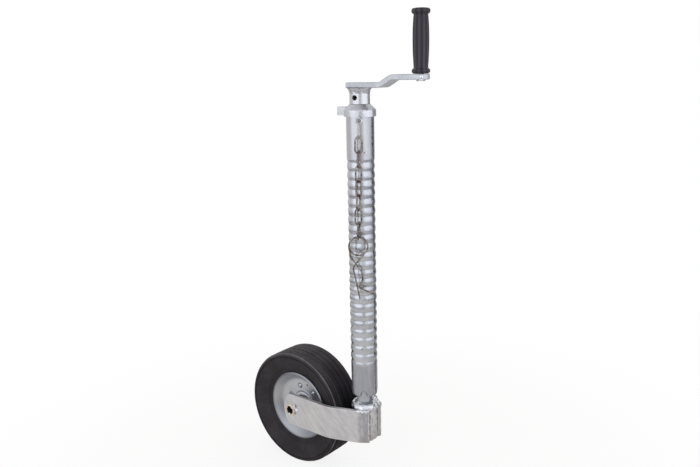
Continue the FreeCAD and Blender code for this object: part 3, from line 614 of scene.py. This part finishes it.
def new_piece(name, shape, finish, body, stands_for=None):
    """A smooth-shaded mesh that rides on a body and may stand for a node of the model."""
    mesh = make_mesh(name, *shape)
    mesh.validate()
    face_outward(mesh)
    mesh.shade_smooth()
    mesh.set_sharp_from_angle(angle=SHARP)
    mesh.materials.append(finish)
    piece = add_object(name, mesh)
    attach(piece, body)
    if stands_for:
        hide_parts(stands_for)
    print(name, "has", len(mesh.polygons), "faces")
    return piece


def join_rings(rings, closed=False):
    """Points and faces that join rings of equal length; an open row of rings gets end caps."""
    count = len(rings[0])
    faces = []
    for row in range(len(rings) if closed else len(rings) - 1):
        here, after = row * count, (row + 1) % len(rings) * count
        for column in range(count):
            onward = (column + 1) % count
            faces.append((here + column, here + onward, after + onward, after + column))
    if not closed:
        last = (len(rings) - 1) * count
        faces += [tuple(reversed(range(count))), tuple(range(last, last + count))]
    return [point for ring in rings for point in ring], faces


def skin(rows, steps, at, closed=False):
    """A mesh with one ring for each row, whose points are placed by at(row, step)."""
    return join_rings([[at(row, step) for step in steps] for row in rows], closed)


def upright_axis(x=0.0, height=0.0):
    return place(x, 0, height), X_AXIS, Y_AXIS, Z_AXIS


WHEEL_AXIS = (wheel_centre, X_AXIS, -Z_AXIS, Y_AXIS)


def lathe(outline, segments, axis, swell=None):
    """A closed outline of (radius, along) turned about an axis frame, in millimetres.

    The axis frame is (centre, first, second, along), and swell(angle, radius, along) may add
    to the radius."""
    centre, first, second, along = axis

    def at(angle, corner):
        radius, distance = corner
        extra = swell(angle, radius, distance) if swell else 0.0
        away = first * cos(angle) + second * sin(angle)
        return centre + away * ((radius + extra) * MM) + along * (distance * MM)

    return skin(turns(segments), outline, at, True)


def bend_wire(path, radius, sides, closed=False, thicken=None):
    """A round wire along a path of points in metres; its radius is in millimetres."""
    count = len(path)
    rings = []
    across = None
    for index, point in enumerate(path):
        before = path[(index - 1) % count] if closed or index else point
        after = path[(index + 1) % count] if closed or index < count - 1 else point
        along = (after - before).normalized()
        across = along.orthogonal() if across is None else across
        across = (across - along * across.dot(along)).normalized()
        side = along.cross(across)
        width = radius * (thicken(index / count) if thicken else 1.0) * MM
        rings.append([point + across * (width * cos(angle)) + side * (width * sin(angle))
                      for angle in turns(sides)])
    return join_rings(rings, closed)


def rounded(corners, radii, steps=6):
    """Points along straight runs whose inner corners are rounded with arcs of those radii."""
    path = [corners[0]]
    for before, corner, after, radius in zip(corners, corners[1:], corners[2:], radii):
        along = (corner - before).normalized()
        onward = (after - corner).normalized()
        angle = along.angle(onward)
        inward = (onward - along * onward.dot(along)).normalized()
        start = corner - along * (radius * tan(angle / 2))
        for share in shares(steps):
            path.append(start + along * (radius * sin(angle * share))
                        + inward * (radius * (1 - cos(angle * share))))
    path.append(corners[-1])
    return path


def gather(parts):
    """Join several (points, faces) meshes into one."""
    all_points, all_faces = [], []
    for points, faces in parts:
        start = len(all_points)
        all_points += points
        all_faces += [tuple(start + index for index in face) for face in faces]
    return all_points, all_faces


def lumps(point, size, amount):
    """A soft push in or out for a point, in millimetres."""
    return amount * noise.noise(point / (size * MM))


def blob(centre, size, squash):
    """A rounded lump of metal about a point, its surface pushed in and out a little."""
    def at(share, angle):
        up = pi * (share - 0.5) * 0.98
        away = Vector((cos(angle) * cos(up), sin(angle) * cos(up), sin(up) * squash))
        point = centre + away * (size * MM)
        return point + away * (lumps(point, 3.0, 0.8) * MM)

    return skin(shares(8), turns(16), at)


# %% [markdown]
# The column's ribs are rolled into the tube. The solid already has them, but the real skin is
# rounder in its valleys and not perfectly even, and its foot curls in with four small arched
# notches. The lathe makes the skin, and a boolean cuts the notches as a punch would.

# %% Column
RIB_PITCH = 15.6
RIB_COUNT = 23
RIB_DEPTH = 1.2
RIB_ROWS = 12
RIBS_START = TUBE_FOOT + 67.5
RIBS_END = RIBS_START + RIB_COUNT * RIB_PITCH
TUBE_TOP = 684.0
TUBE_BORE = 20.4
FOOT_CURL = 5.0
FOOT_MOUTH = 20.9
NOTCH_HALF = 5.5


def column_outline():
    """The outside of the tube from its top to its curled foot, then back up the bore."""
    outline = [(TUBE_RADIUS, TUBE_TOP), (TUBE_RADIUS, TUBE_TOP - 13.0)]
    outline += [(radius, RIBS_END + up) for radius, up in
                ((TUBE_RADIUS, 30), (TUBE_RADIUS, 6.0), (23.85, 4.2), (23.35, 2.2))]
    for row in range(RIB_COUNT * RIB_ROWS, -1, -1):
        share = (row % RIB_ROWS) / RIB_ROWS
        valley = ((1 + cos(2 * pi * share)) / 2) ** 1.5
        outline.append((TUBE_RADIUS - RIB_DEPTH * valley, RIBS_START + row * RIB_PITCH / RIB_ROWS))
    outline += [(radius, RIBS_START - down) for radius, down in
                ((23.2, 1.8), (23.65, 3.8), (23.8, 5.8), (23.75, 8.0), (23.62, 10.0),
                 (LOWER_RADIUS, 13), (LOWER_RADIUS, 30))]
    outline.append((LOWER_RADIUS, TUBE_FOOT + 7.0))
    outline += [(FOOT_MOUTH + (LOWER_RADIUS - FOOT_MOUTH) * cos(share * pi / 2),
                 TUBE_FOOT + FOOT_CURL - FOOT_CURL * sin(share * pi / 2)) for share in shares(4)]
    return outline + [(TUBE_BORE, TUBE_FOOT + 0.3), (TUBE_BORE, TUBE_TOP)]


def column_unevenness(angle, radius, height):
    if radius < 21 or height > TUBE_TOP - 14:
        return 0.0
    spot = Vector((cos(angle) * 1.4, sin(angle) * 1.4, height / 16))
    return 0.16 * noise.noise(spot) + 0.05 * noise.noise(spot * 4)


def notch_punch(azimuth):
    """A bar with an arched top, pointing out through the tube's foot at an azimuth."""
    arch = [(NOTCH_HALF * cos(angle), NOTCH_CROWN + NOTCH_HALF * sin(angle))
            for angle in turns(24)[:13]]
    outline = [(NOTCH_HALF, TUBE_FOOT - 3)] + arch + [(-NOTCH_HALF, TUBE_FOOT - 3)]
    away, side = outward(azimuth), outward(azimuth + 90)
    rings = [[place(0, 0, height) + (away * reach + side * across) * MM
              for across, height in outline] for reach in (12.0, 30.0)]
    return add_object("punch", make_mesh("punch", *join_rings(rings)))


def punch_out(piece, punches):
    """Cut the punches out of the piece, and remove them."""
    for punch in punches:
        cut = piece.modifiers.new("notch", "BOOLEAN")
        cut.object = punch
        cut.solver = "EXACT"
    bpy.context.view_layer.update()
    seen = piece.evaluated_get(bpy.context.evaluated_depsgraph_get())
    mesh = bpy.data.meshes.new_from_object(seen)
    piece.modifiers.clear()
    piece.data = mesh
    for punch in punches:
        bpy.data.objects.remove(punch)
    mesh.set_sharp_from_angle(angle=SHARP)


column = new_piece("column_skin", lathe(column_outline(), 96, upright_axis(), column_unevenness),
                   column_zinc, "column", "outer_tube")
punch_out(column, [notch_punch(FRONT + 90 * quarter) for quarter in range(4)])
print("notched, it has", len(column.data.polygons), "faces")

# %% [markdown]
# The chain is bent from round wire, one stadium per link, each butt-welded on one side, which
# leaves a slight swelling. Every link turns against its neighbours, and the turns here are
# those of the picture. The solids hang in the same places.

# %% Chain and its eye
LINK_WIRE = 1.5
LINK_INNER = 24.8
LINK_HALF_WIDTH = 6.0
LINK_PLAY = 0.25
LINK_TURNS = (84.0, 2.0, -68.0, 42.0, -43.0, 68.0, -25.0, -95.0)
CHAIN_RADIUS = 31.9
EYE_HEIGHT = 665.2
EYE_RADIUS = 4.5
CHAIN_LEAN = radians(1.2)

hanging_frame = (Matrix.Translation(around(FRONT, CHAIN_RADIUS, EYE_HEIGHT))
                 @ Matrix.Rotation(radians(FRONT), 4, "Z") @ Matrix.Rotation(CHAIN_LEAN, 4, "Y"))


def link_path(turn, drop):
    """The middle of one link's wire, hanging below the eye."""
    straight = LINK_INNER / 2 + LINK_WIRE - LINK_HALF_WIDTH
    path = []
    for sign in (1, -1):
        for share in shares(8):
            path.append(Vector((sign * LINK_HALF_WIDTH * cos(pi * share), 0,
                                sign * (straight + LINK_HALF_WIDTH * sin(pi * share)))))
        for share in (0.25, 0.5, 0.75):
            path.append(Vector((-sign * LINK_HALF_WIDTH, 0, sign * straight * (1 - 2 * share))))
    turned = hanging_frame @ Matrix.Translation((0, 0, -drop * MM)) @ Matrix.Rotation(turn, 4, "Z")
    return [turned @ (point * MM) for point in path]


def weld_swelling(share):
    return 1.0 + 0.10 * exp(-((share - 0.44) / 0.03) ** 2)


first_drop = EYE_RADIUS - LINK_WIRE - LINK_PLAY + LINK_INNER / 2
drops = [first_drop + index * (LINK_INNER - LINK_PLAY) for index in range(len(LINK_TURNS))]
links = [bend_wire(link_path(radians(turn), drop), LINK_WIRE, 12, True, weld_swelling)
         for turn, drop in zip(LINK_TURNS, drops)]
new_piece("chain_wire", gather(links), wire_steel, "chain", "chain_links")
last_wire = drops[-1] + LINK_INNER / 2 + LINK_WIRE
print("chain: links", len(LINK_TURNS), "down to", round(EYE_HEIGHT - last_wire, 1), "mm")

# %% [markdown]
# The spring clip is one piece of spring wire. It goes up a straight leg, round a coil of a turn
# and a half, and down a bowed leg that is sprung against the first, with a flared tail. It is
# drawn a little thicker than the solid's wire, and hangs in the same place.

# %% Spring clip
CLIP_WIRE = 1.4
SOLID_CLIP_WIRE = 1.25
CLIP_PLAY = 0.8
COIL_RADIUS = 16.2
COIL_PITCH = 2.75
COIL_START = -48.0
COIL_END = 540.0
COIL_STEP = 6


def on_coil(turned):
    """A point of the coil's wire, after it has turned by some degrees."""
    angle = radians(turned)
    depth = COIL_PITCH * (turned - (COIL_START + COIL_END) / 2) / 360
    return Vector((COIL_RADIUS * cos(angle), depth, COIL_RADIUS * sin(angle)))


def clip_path():
    """The middle of the wire: up the straight leg, round the coil and down the bowed leg."""
    start, end = on_coil(COIL_START), on_coil(COIL_END)
    arriving = (on_coil(COIL_START + 1) - on_coil(COIL_START - 1)).normalized()
    arriving.y = 0
    bend = Vector((-8.7, start.y, -37.0))
    corner = start - arriving * 3.0
    sweep = (corner - bend).angle(arriving)
    leg = rounded([Vector((3.6, start.y, -94.0)), bend, corner, start],
                  (10.0, 2.94 / tan(sweep / 2)))
    coil = [on_coil(COIL_START + step * COIL_STEP) for step in range(1, 98)]
    bow = [Vector((x, end.y, z)) for x, z in
           ((end.x, -5.0), (-12.5, -21.0), (4.6, -43.3), (8.5, -58.3), (0.6, -74.5), (28.0, -85.6))]
    bowed = rounded([end] + bow, (8.0, 15.0, 12.0, 14.0, 2.5), 8)
    hang = last_wire - LINK_WIRE - SOLID_CLIP_WIRE - CLIP_PLAY + COIL_RADIUS
    lowered = hanging_frame @ Matrix.Translation((0, 0, -hang * MM))
    return [lowered @ (point * MM) for point in leg + coil + bowed]


new_piece("clip_wire", bend_wire(clip_path(), CLIP_WIRE, 10), wire_steel, "clip",
          "spring_clip")

# %% [markdown]
# The boss under the crank's arm is welded on all round. The weld runs out in a smooth flare to
# the arm, and the zinc has left it uneven.

# %% Flare of the crank's weld
HUB_TOP = 718.5
FLARE_BORE = 15.0
FLARE_OUTLINE = [(FLARE_BORE, -9.4), (17.4, -9.4), (17.9, -8.8), (18.1, -7.2), (18.5, -5.4),
                 (19.2, -3.6), (20.2, -2.0), (21.4, -0.8), (22.0, -0.1), (FLARE_BORE, -0.1)]


def flare_lumps(angle, radius, height):
    if radius < FLARE_BORE + 2:
        return 0.0
    spot = Vector((cos(angle), sin(angle), height / 20)) * 18.0 * MM
    return lumps(spot, 7.0, 0.9)


new_piece("weld_flare", lathe(FLARE_OUTLINE, 80, upright_axis(0, HUB_TOP), flare_lumps),
          head_zinc, "crank", "hub_weld")

# %% [markdown]
# The grip is moulded plastic. It swells at both ends, and shallow flutes run along its barrel
# for the fingers. The lathe makes it, with the flutes pressed in by its swell function.

# %% Grip
GRIP_FOOT = 740.4
FLUTES_START, FLUTES_END = 9.8, 90
FLUTE_DEPTH = 1.15
FLUTE_FADE = 3
GRIP_OUTLINE = [(5.4, 0.0), (11.0, 0.0), (13.2, 0.8), (14.4, 2.4), (14.8, 4.2), (14.4, 6.0),
                (13.0, 7.6), (11.8, 8.6), (11.6, 9.8), (11.7, 12.0), (12.1, 18.0), (12.4, 24.0),
                (12.7, 30.0), (12.95, 36.0), (13.1, 44.0), (13.15, 51.0), (13.05, 62.0), (12.9, 70.0),
                (12.6, 76.0), (12.2, 82.0), (11.9, 86.0), (11.6, 88.6), (11.5, 90.2), (12.3, 91.2),
                (13.9, 92.2), (14.8, 94.0), (14.9, 96.0), (14.4, 98.0), (12.8, 99.5), (8.0, 100.2),
                (3.0, 100.45), (0.02, 100.48), (0.02, 92.0), (5.4, 92.0)]


def grip_flutes(angle, radius, height):
    """How far the surface is pressed in for the flutes, at a height up from the grip's foot."""
    if not FLUTES_START < height < FLUTES_END or radius < 6:
        return 0.0
    fade = min(1.0, (height - FLUTES_START) / FLUTE_FADE, (FLUTES_END - height) / FLUTE_FADE)
    return -FLUTE_DEPTH * fade * max(0.0, cos((angle - FLUTE_TURN) * FLUTES))


new_piece("grip_moulding", lathe(GRIP_OUTLINE, 120, upright_axis(CRANK_REACH, GRIP_FOOT), grip_flutes),
          grip_plastic, "grip", "grip")

# %% [markdown]
# The pin that the grip turns on was struck over the arm's rounded edge. That left a bright lump
# on the edge and a few small teeth under it.

# %% The struck end of the grip's pin
ARM_BOTTOM = GRIP_FOOT - 9.4
PIN_LUMPS = ((38, 11.0, 4.4, 4.0, 1.2), (30, 12.0, 0.3, 1.5, 1.2), (38, 12.2, -0.2, 1.6, 1.3),
             (46, 12.0, 0.3, 1.5, 1.2))
new_piece("pin_lump", gather([blob(around(azimuth, reach, ARM_BOTTOM + up, CRANK_REACH), size, squash)
                              for azimuth, reach, up, size, squash in PIN_LUMPS]),
          cup_zinc, "crank")

# %% [markdown]
# The tyre is a solid rubber ring. Its sides slope in from one fine ring groove to a shallow
# recess beside the rim. The tread has fine ribs at each shoulder and four shallow grooves.

# %% Tyre
TYRE_RADIUS = 110.0
TYRE_SIDE = 34.5


def tyre_half():
    """One side of the tyre's outline, from the middle of the tread to the rim, as (radius, y)."""
    half = [(TYRE_RADIUS - drop, across) for drop, across in
            ((0.0, 0.4), (0.0, 4.4), (1.7, 5.4), (1.7, 7.0), (0.1, 8.0), (0.1, 17.0), (1.8, 17.9),
             (1.8, 19.5), (0.3, 20.6))]
    for step in range(4):
        across = 21.8 + step * 1.6
        half += [(TYRE_RADIUS - 0.3 - 0.12 * step, across), (TYRE_RADIUS - 0.8 - 0.12 * step, across + 0.7)]
    for share in shares(6):
        angle = radians(15 + 75 * share)
        half.append((103.5 + 6.3 * cos(angle), 28.3 + 6.2 * sin(angle)))
    half += [(103.3, TYRE_SIDE), (102.7, 32.5), (101.3, 32.5), (100.7, TYRE_SIDE), (99.0, 33.9),
             (88.0, 29.0), (76.4, 23.9), (75.6, 23.2), (75.0, 22.0), (74.0, 21.0), (69.5, 20.0),
             (67.0, 18.9), (60.0, 12.4), (52.0, 2.9)]
    return half


tyre_outline = tyre_half()
tyre_outline += [(radius, -across) for radius, across in reversed(tyre_outline)]
new_piece("tyre_ring", lathe(tyre_outline, 160, WHEEL_AXIS), tyre_rubber, "wheel",
          "tyre")

# %% [markdown]
# Hand welding and hot zinc leave nothing on the fork's head crisp. The cup that the column
# comes down into is a lumpy ring, the key on it is a rounded stump, and beads run along the
# seams. Each is a plain form whose skin is pushed in and out by a soft noise.

# %% Cup and key
FORK_TOP = 142.5
FORK_BOTTOM = 80.5
FORK_HEIGHT = FORK_TOP - FORK_BOTTOM
CUP_OUTLINE = [(14.9, FORK_TOP + 0.1), (14.9, 155.4), (16.4, 154.6), (18.2, 153.8), (20.0, 152.9),
               (21.6, 151.9), (23.0, 150.8), (24.2, 149.5), (25.1, 148.0), (25.6, 146.4), (25.6, 144.8),
               (25.2, 143.4), (24.4, 142.6), (22.0, 142.6)]
CUP_HOLLOW = -78
HOLLOW_START, HOLLOW_WIDTH = 15.2, 6.8
HOLLOW_LEVEL = 149
HOLLOW_DEPTH = 6.0
KEY_AZIMUTH = 97
KEY_REACH = 21.4
KEY_BOTTOM, KEY_TOP = 143.5, 167.2
KEY_HALF_WIDTH, KEY_HALF_DEPTH = 5.2, 3.0


def cup_lumps(angle, radius, height):
    if radius < 16:
        return 0.0
    spot = Vector((cos(angle), sin(angle), height / 30)) * radius * MM
    return lumps(spot, 6.0, 1.2) + lumps(spot, 2.5, 0.5)


def hollow_cup():
    """The cup's ring, sunk on the side where the zinc drained away."""
    points, faces = lathe(CUP_OUTLINE, 96, upright_axis(), cup_lumps)
    for point in points:
        share = (hypot(point.x, point.y) / MM - HOLLOW_START) / HOLLOW_WIDTH
        open_side = max(0.0, point.normalized().dot(outward(CUP_HOLLOW)) * 6)
        if 0 < share < 1 and point.z > place(0, 0, HOLLOW_LEVEL).z:
            point.z -= HOLLOW_DEPTH * MM * min(1.0, open_side) * sin(pi * share)
    return points, faces


def key_shape():
    """An upright stump with a spread foot, rounded corners and a domed top."""
    wide, deep = outward(KEY_AZIMUTH + 90), outward(KEY_AZIMUTH)

    def at(share, angle):
        slim = 1.0 if share < 0.7 else sqrt(max(0.02, 1 - ((share - 0.7) / 0.31) ** 2))
        slim += 0.35 * max(0.0, 1 - share / 0.5) ** 2
        across, along = cos(angle), sin(angle)
        corner = slim * MM / (abs(across) ** 4 + abs(along) ** 4) ** 0.25
        point = (around(KEY_AZIMUTH, KEY_REACH, KEY_BOTTOM + (KEY_TOP - KEY_BOTTOM) * share)
                 + wide * (KEY_HALF_WIDTH * across * corner) + deep * (KEY_HALF_DEPTH * along * corner))
        return point + (wide * across + deep * along).normalized() * (lumps(point, 4.0, 0.7) * MM)

    return skin(shares(12), turns(20), at)


new_piece("cup_ring", hollow_cup(), cup_zinc, "stem", "stem_cup")
new_piece("key_stump", key_shape(), cup_zinc, "stem", "lock_key")

# %% [markdown]
# The bar that makes the fork is wrapped round the tube, and its two ends are joined by an upright
# weld. A bead runs beside the weld on each side. Zinc ran down from the key in a row of lumps,
# and hangs in drips along the top of the bar.

# %% Weld beads, runs and drips
WRAP_AZIMUTH = 33.7
SEAM_HALF = [(13.0, -15.0), (16.4, -14.8), (18.8, -13.8), (19.7, -12.8), (18.5, -11.5), (19.7, -10.2),
             (20.6, -8.4), (20.9, -6.4), (21.1, -4.0), (21.3, -2.0)]
BEADS = ((1, 2.1), (-1, 1.4))
RUNS = ((97, 23.5, 158.5, 3.4, 1.5), (103, 25.0, 153.5, 3.8, 1.3), (112, 26.0, 150.0, 4.0, 1.1),
        (121, 26.8, 146.5, 3.8, 1.2), (131, 27.0, 143.5, 3.4, 1.2), (88, 24.6, 151.0, 3.2, 1.2),
        (78, 25.2, 146.5, 3.0, 1.2), (142, 27.0, 142.0, 3.0, 1.0))
DRIPS = ((-13.0, 142.6, 2.6), (-10.2, 141.6, 3.2), (-6.6, 142.2, 3.0), (-3.4, 140.9, 3.6),
         (0.4, 142.0, 3.1), (3.6, 140.6, 3.5), (6.8, 142.0, 2.8))


def on_wrap(reach, along, height, side=1):
    """A point on the wrapped bar's slanting face, or its mirror image on the other side."""
    spot = outward(WRAP_AZIMUTH) * reach + outward(WRAP_AZIMUTH + 90) * along
    return place(spot.x, side * spot.y, height)


def seam_fill():
    """The weld metal between the two arms' ends: one upright skin, lumpy, with a groove each side."""
    def at(share, corner):
        x, y = corner
        point = place(x, y, FORK_BOTTOM + 1.0 + (FORK_HEIGHT - 1.5) * share)
        push = lumps(point, 7.0, 1.1) + lumps(point, 2.6, 0.5)
        return point + Vector((x, y * 0.4, 0)).normalized() * (push * MM)

    return skin(shares(48), SEAM_HALF + [(x, -y) for x, y in reversed(SEAM_HALF)], at)


def bead(path, radius):
    """A weld bead along a path: a wire whose thickness wanders, with ripples across it."""
    count = len(path)

    def ripple(share):
        spot = path[int(share * count) % count]
        return 1.0 + 0.05 * sin(share * count * 1.9) + lumps(spot, 9.0, 0.6)

    return bend_wire(path, radius, 10, False, ripple)


heights = [FORK_BOTTOM + 1.5 + (FORK_HEIGHT - 2.5) * share for share in shares(60)]
beads = [bead([on_wrap(27.0, 7.2, height, side) for height in heights], width)
         for side, width in BEADS]
new_piece("weld_beads", gather([seam_fill()] + beads), weld_zinc, "stem",
          "fork_welds")
new_piece("run_zinc", gather([blob(around(azimuth, reach, height), size, squash)
                              for azimuth, reach, height, size, squash in RUNS]),
          flow_zinc, "stem")
new_piece("drip_zinc", gather([blob(on_wrap(25.2, along, height, side), size, 1.0)
                               for along, height, size in DRIPS for side in (1, -1)]),
          cup_zinc, "stem")

# %% [markdown]
# The axle is a tube whose ends are struck over the arms with a punch, so its mouth is a rough
# star with a warm yellow plating, and not a clean circle. The lathe turns it, and the swell
# function pulls the mouth's inner edge inward between the punch marks.

# %% Axle
ARM_FACE = 45.0
MOUTH_TEETH = ((97, 13, 2.6), (-150, 26, 1.7), (-48, 26, 2.3), (22, 12, 1.0), (150, 18, 1.2))
AXLE_END = ((7.2, -4.0), (7.2, 0.6), (8.4, 1.15), (9.9, 1.0), (10.7, 0.3), (10.7, 0.0), (10.0, 0.0))
STAKES = ((16.9, 4.2, 4.4, 2.7), (11.6, 9.2, 2.7, 4.0))
SHADED_BORE = 8.7
STAKE_DOME = ((1.0, -0.6), (0.95, 0.25), (0.75, 0.7), (0.4, 0.95), (0.02, 1.0))


def struck_mouth(angle, radius, along):
    """Pull the bore's edge in near each end, in uneven teeth."""
    if radius > 8 or abs(along) < ARM_FACE - 3:
        return 0.0
    pull = 0.0
    for middle, width, depth in MOUTH_TEETH:
        off = (degrees(angle) - middle + 180) % 360 - 180
        pull += depth * exp(-(off / width) ** 2)
    return 1.1 - pull


def stake(side, x, z, half_x, half_z):
    """A low bright dome beside the axle's end, where the punch pushed the metal out."""
    spot = by_axle(x, z, -side * (ARM_FACE + 0.3))

    def at(level, angle):
        shrink, rise = level
        across, up = cos(angle), sin(angle)
        edge = shrink * (1.0 + lumps(Vector((across, x, up)), 1000.0, 0.25))
        return spot + Vector((half_x * edge * across, -side * rise, half_z * edge * up)) * MM

    return skin(STAKE_DOME, turns(16), at)


axle_outline = [(radius, -ARM_FACE - out) for radius, out in AXLE_END]
axle_outline += [(radius, ARM_FACE + out) for radius, out in reversed(AXLE_END)]
axle = new_piece("axle_tube", lathe(axle_outline, 80, WHEEL_AXIS, struck_mouth), axle_plating,
                 "stem", "axle")
# The inside of the bore takes the near-black finish, as painted shade.
axle.data.materials.append(pin_and_bore_shade)
for face in axle.data.polygons:
    off_axle = (face.center - wheel_centre) / MM
    if hypot(off_axle.x, off_axle.z) < SHADED_BORE and abs(off_axle.y) < ARM_FACE + 0.3:
        face.material_index = 1
new_piece("stake_marks", gather([stake(side, *sizes) for side in (1, -1) for sizes in STAKES]),
          stake_zinc, "stem")

# %% [markdown]
# The photograph was made on white. The floor and the far world are white to the camera, and the
# world is white in reflections too, while reflections of the floor show a painted reflection:
# warm near the object, with a dark ring beyond for the unlit room. The light that falls on the
# object is plain and soft: a broad panel to the right, a narrower one to the left, and a dim sky.
# The gap between them, where the photographer stood, is what draws the darker line down the
# middle of the column.

# %% Floor, world and lights
FLOOR_HALF = 30.0
SKY = 0.74
PANEL_TINT = (0.84, 0.91, 1.0)
PANEL_ELEVATION = radians(15)
PANEL_DISTANCE = 1.6
PANEL_HEIGHT = 1.62
CARD_TOP = 1.4


def ray(maker, kind):
    return maker.node("ShaderNodeLightPath", output="Is " + kind + " Ray")


def glow(maker, colour):
    return maker.node("ShaderNodeEmission", {"Color": colour, "Strength": 1.0})


def set_surface(tree, surface):
    tree.links.new(surface.socket, tree.nodes["Material Output"].inputs["Surface"])


def add_sheet(name, corners, material):
    """A flat sheet of the studio, which casts no shadow."""
    sheet = add_object(name, make_mesh(name, corners, [(0, 1, 2, 3)]))
    sheet.data.materials.append(material)
    sheet.visible_shadow = False
    return sheet


def make_floor():
    """A wide pale floor that fades to pure white away from the object and its shadow.

    The camera sees the far white through it, so a wheel wound down below it still shows."""
    material, tree = new_material("floor_paper")
    shader = tree.nodes["Principled BSDF"]
    shader.inputs["Base Color"].default_value = (0.87, 0.85, 0.82, 1.0)
    shader.inputs["Roughness"].default_value = 0.9
    maker = Shade(tree)
    distance = maker.node("ShaderNodeTexCoord", output="Object").vector("LENGTH")
    near = 1 - distance.spread(0.45, 1.0)
    # Seen in reflections, the floor glows warm near the object and dark in a ring beyond: a painted
    # reflection of a lit floor and of the unlit room at the horizon.
    band = distance.spread(0.95, 1.15) * (1 - distance.spread(1.7, 1.8))
    clear = ray(maker, "Camera") * (1 - near * 0.15)
    mirrored = ray(maker, "Glossy") + ray(maker, "Transmission")
    reflected = band.between((1.0, 0.955, 0.91), (0.20, 0.22, 0.27))
    shown = mirrored.between((1, 1, 1), reflected)
    paper = maker.node("ShaderNodeMixShader", {
        0: mirrored * 0.85, 1: Shade(tree, shader.outputs[0]), 2: glow(maker, shown)})
    through = maker.node("ShaderNodeBsdfTransparent")
    set_surface(tree, maker.node("ShaderNodeMixShader", {0: clear, 1: paper, 2: through}))
    half = FLOOR_HALF
    add_sheet("floor", [(x, y, ground) for x, y in
                        ((-half, -half), (half, -half), (half, half), (-half, half))], material)


def make_world():
    """White to the camera and in reflections, a dim sky for the light, and nothing from below."""
    world = bpy.data.worlds.new("studio")
    scene.world = world
    world.use_nodes = True
    tree = world.node_tree
    maker = Shade(tree)
    seen = strongest([ray(maker, kind) for kind in ("Camera", "Glossy", "Transmission")])
    height = maker.node("ShaderNodeTexCoord", output="Generated").part(Z)
    strength = seen + (1 - seen) * (height.spread(-0.01, 0.01) * SKY)
    background = tree.nodes["Background"]
    tree.links.new(strength.socket, background.inputs["Strength"])
    background.inputs["Color"].default_value = (1.0, 1.0, 1.0, 1.0)


def make_panel(name, azimuth, width, power):
    """A soft light panel that faces the middle of the object."""
    data = bpy.data.lights.new(name, "AREA")
    data.shape = "RECTANGLE"
    data.size = width
    data.size_y = PANEL_HEIGHT
    data.energy = power
    data.color = PANEL_TINT
    panel = add_object(name, data)
    away = outward(azimuth) * cos(PANEL_ELEVATION) + Z_AXIS * sin(PANEL_ELEVATION)
    panel.location = away * PANEL_DISTANCE
    panel.rotation_euler = away.to_track_quat("Z", "Y").to_euler()


def make_card(name, azimuth, distance, width, shade):
    """A dark card that only reflections see, as the unlit room behind the camera."""
    away, side = outward(azimuth), outward(azimuth + 90)
    corners = [away * distance + side * (width * across) + Z_AXIS * height for across, height in
               ((-0.5, ground), (0.5, ground), (0.5, CARD_TOP), (-0.5, CARD_TOP))]
    material, tree = new_material(name)
    set_surface(tree, glow(Shade(tree), (shade, shade, shade)))
    card = add_sheet(name, corners, material)
    card.visible_camera = False
    card.visible_diffuse = False


make_floor()
make_world()
make_panel("panel_right", azimuth=93, width=2.3, power=11.2)
make_panel("panel_left", azimuth=-7, width=2.1, power=9.8)
make_card("room_behind", azimuth=42, distance=1.5, width=0.66, shade=0.8)
make_card("room_right", azimuth=166, distance=2.0, width=2.0, shade=0.38)
scene.view_settings.view_transform = "Standard"
print("lights:", [light.name for light in bpy.data.lights])
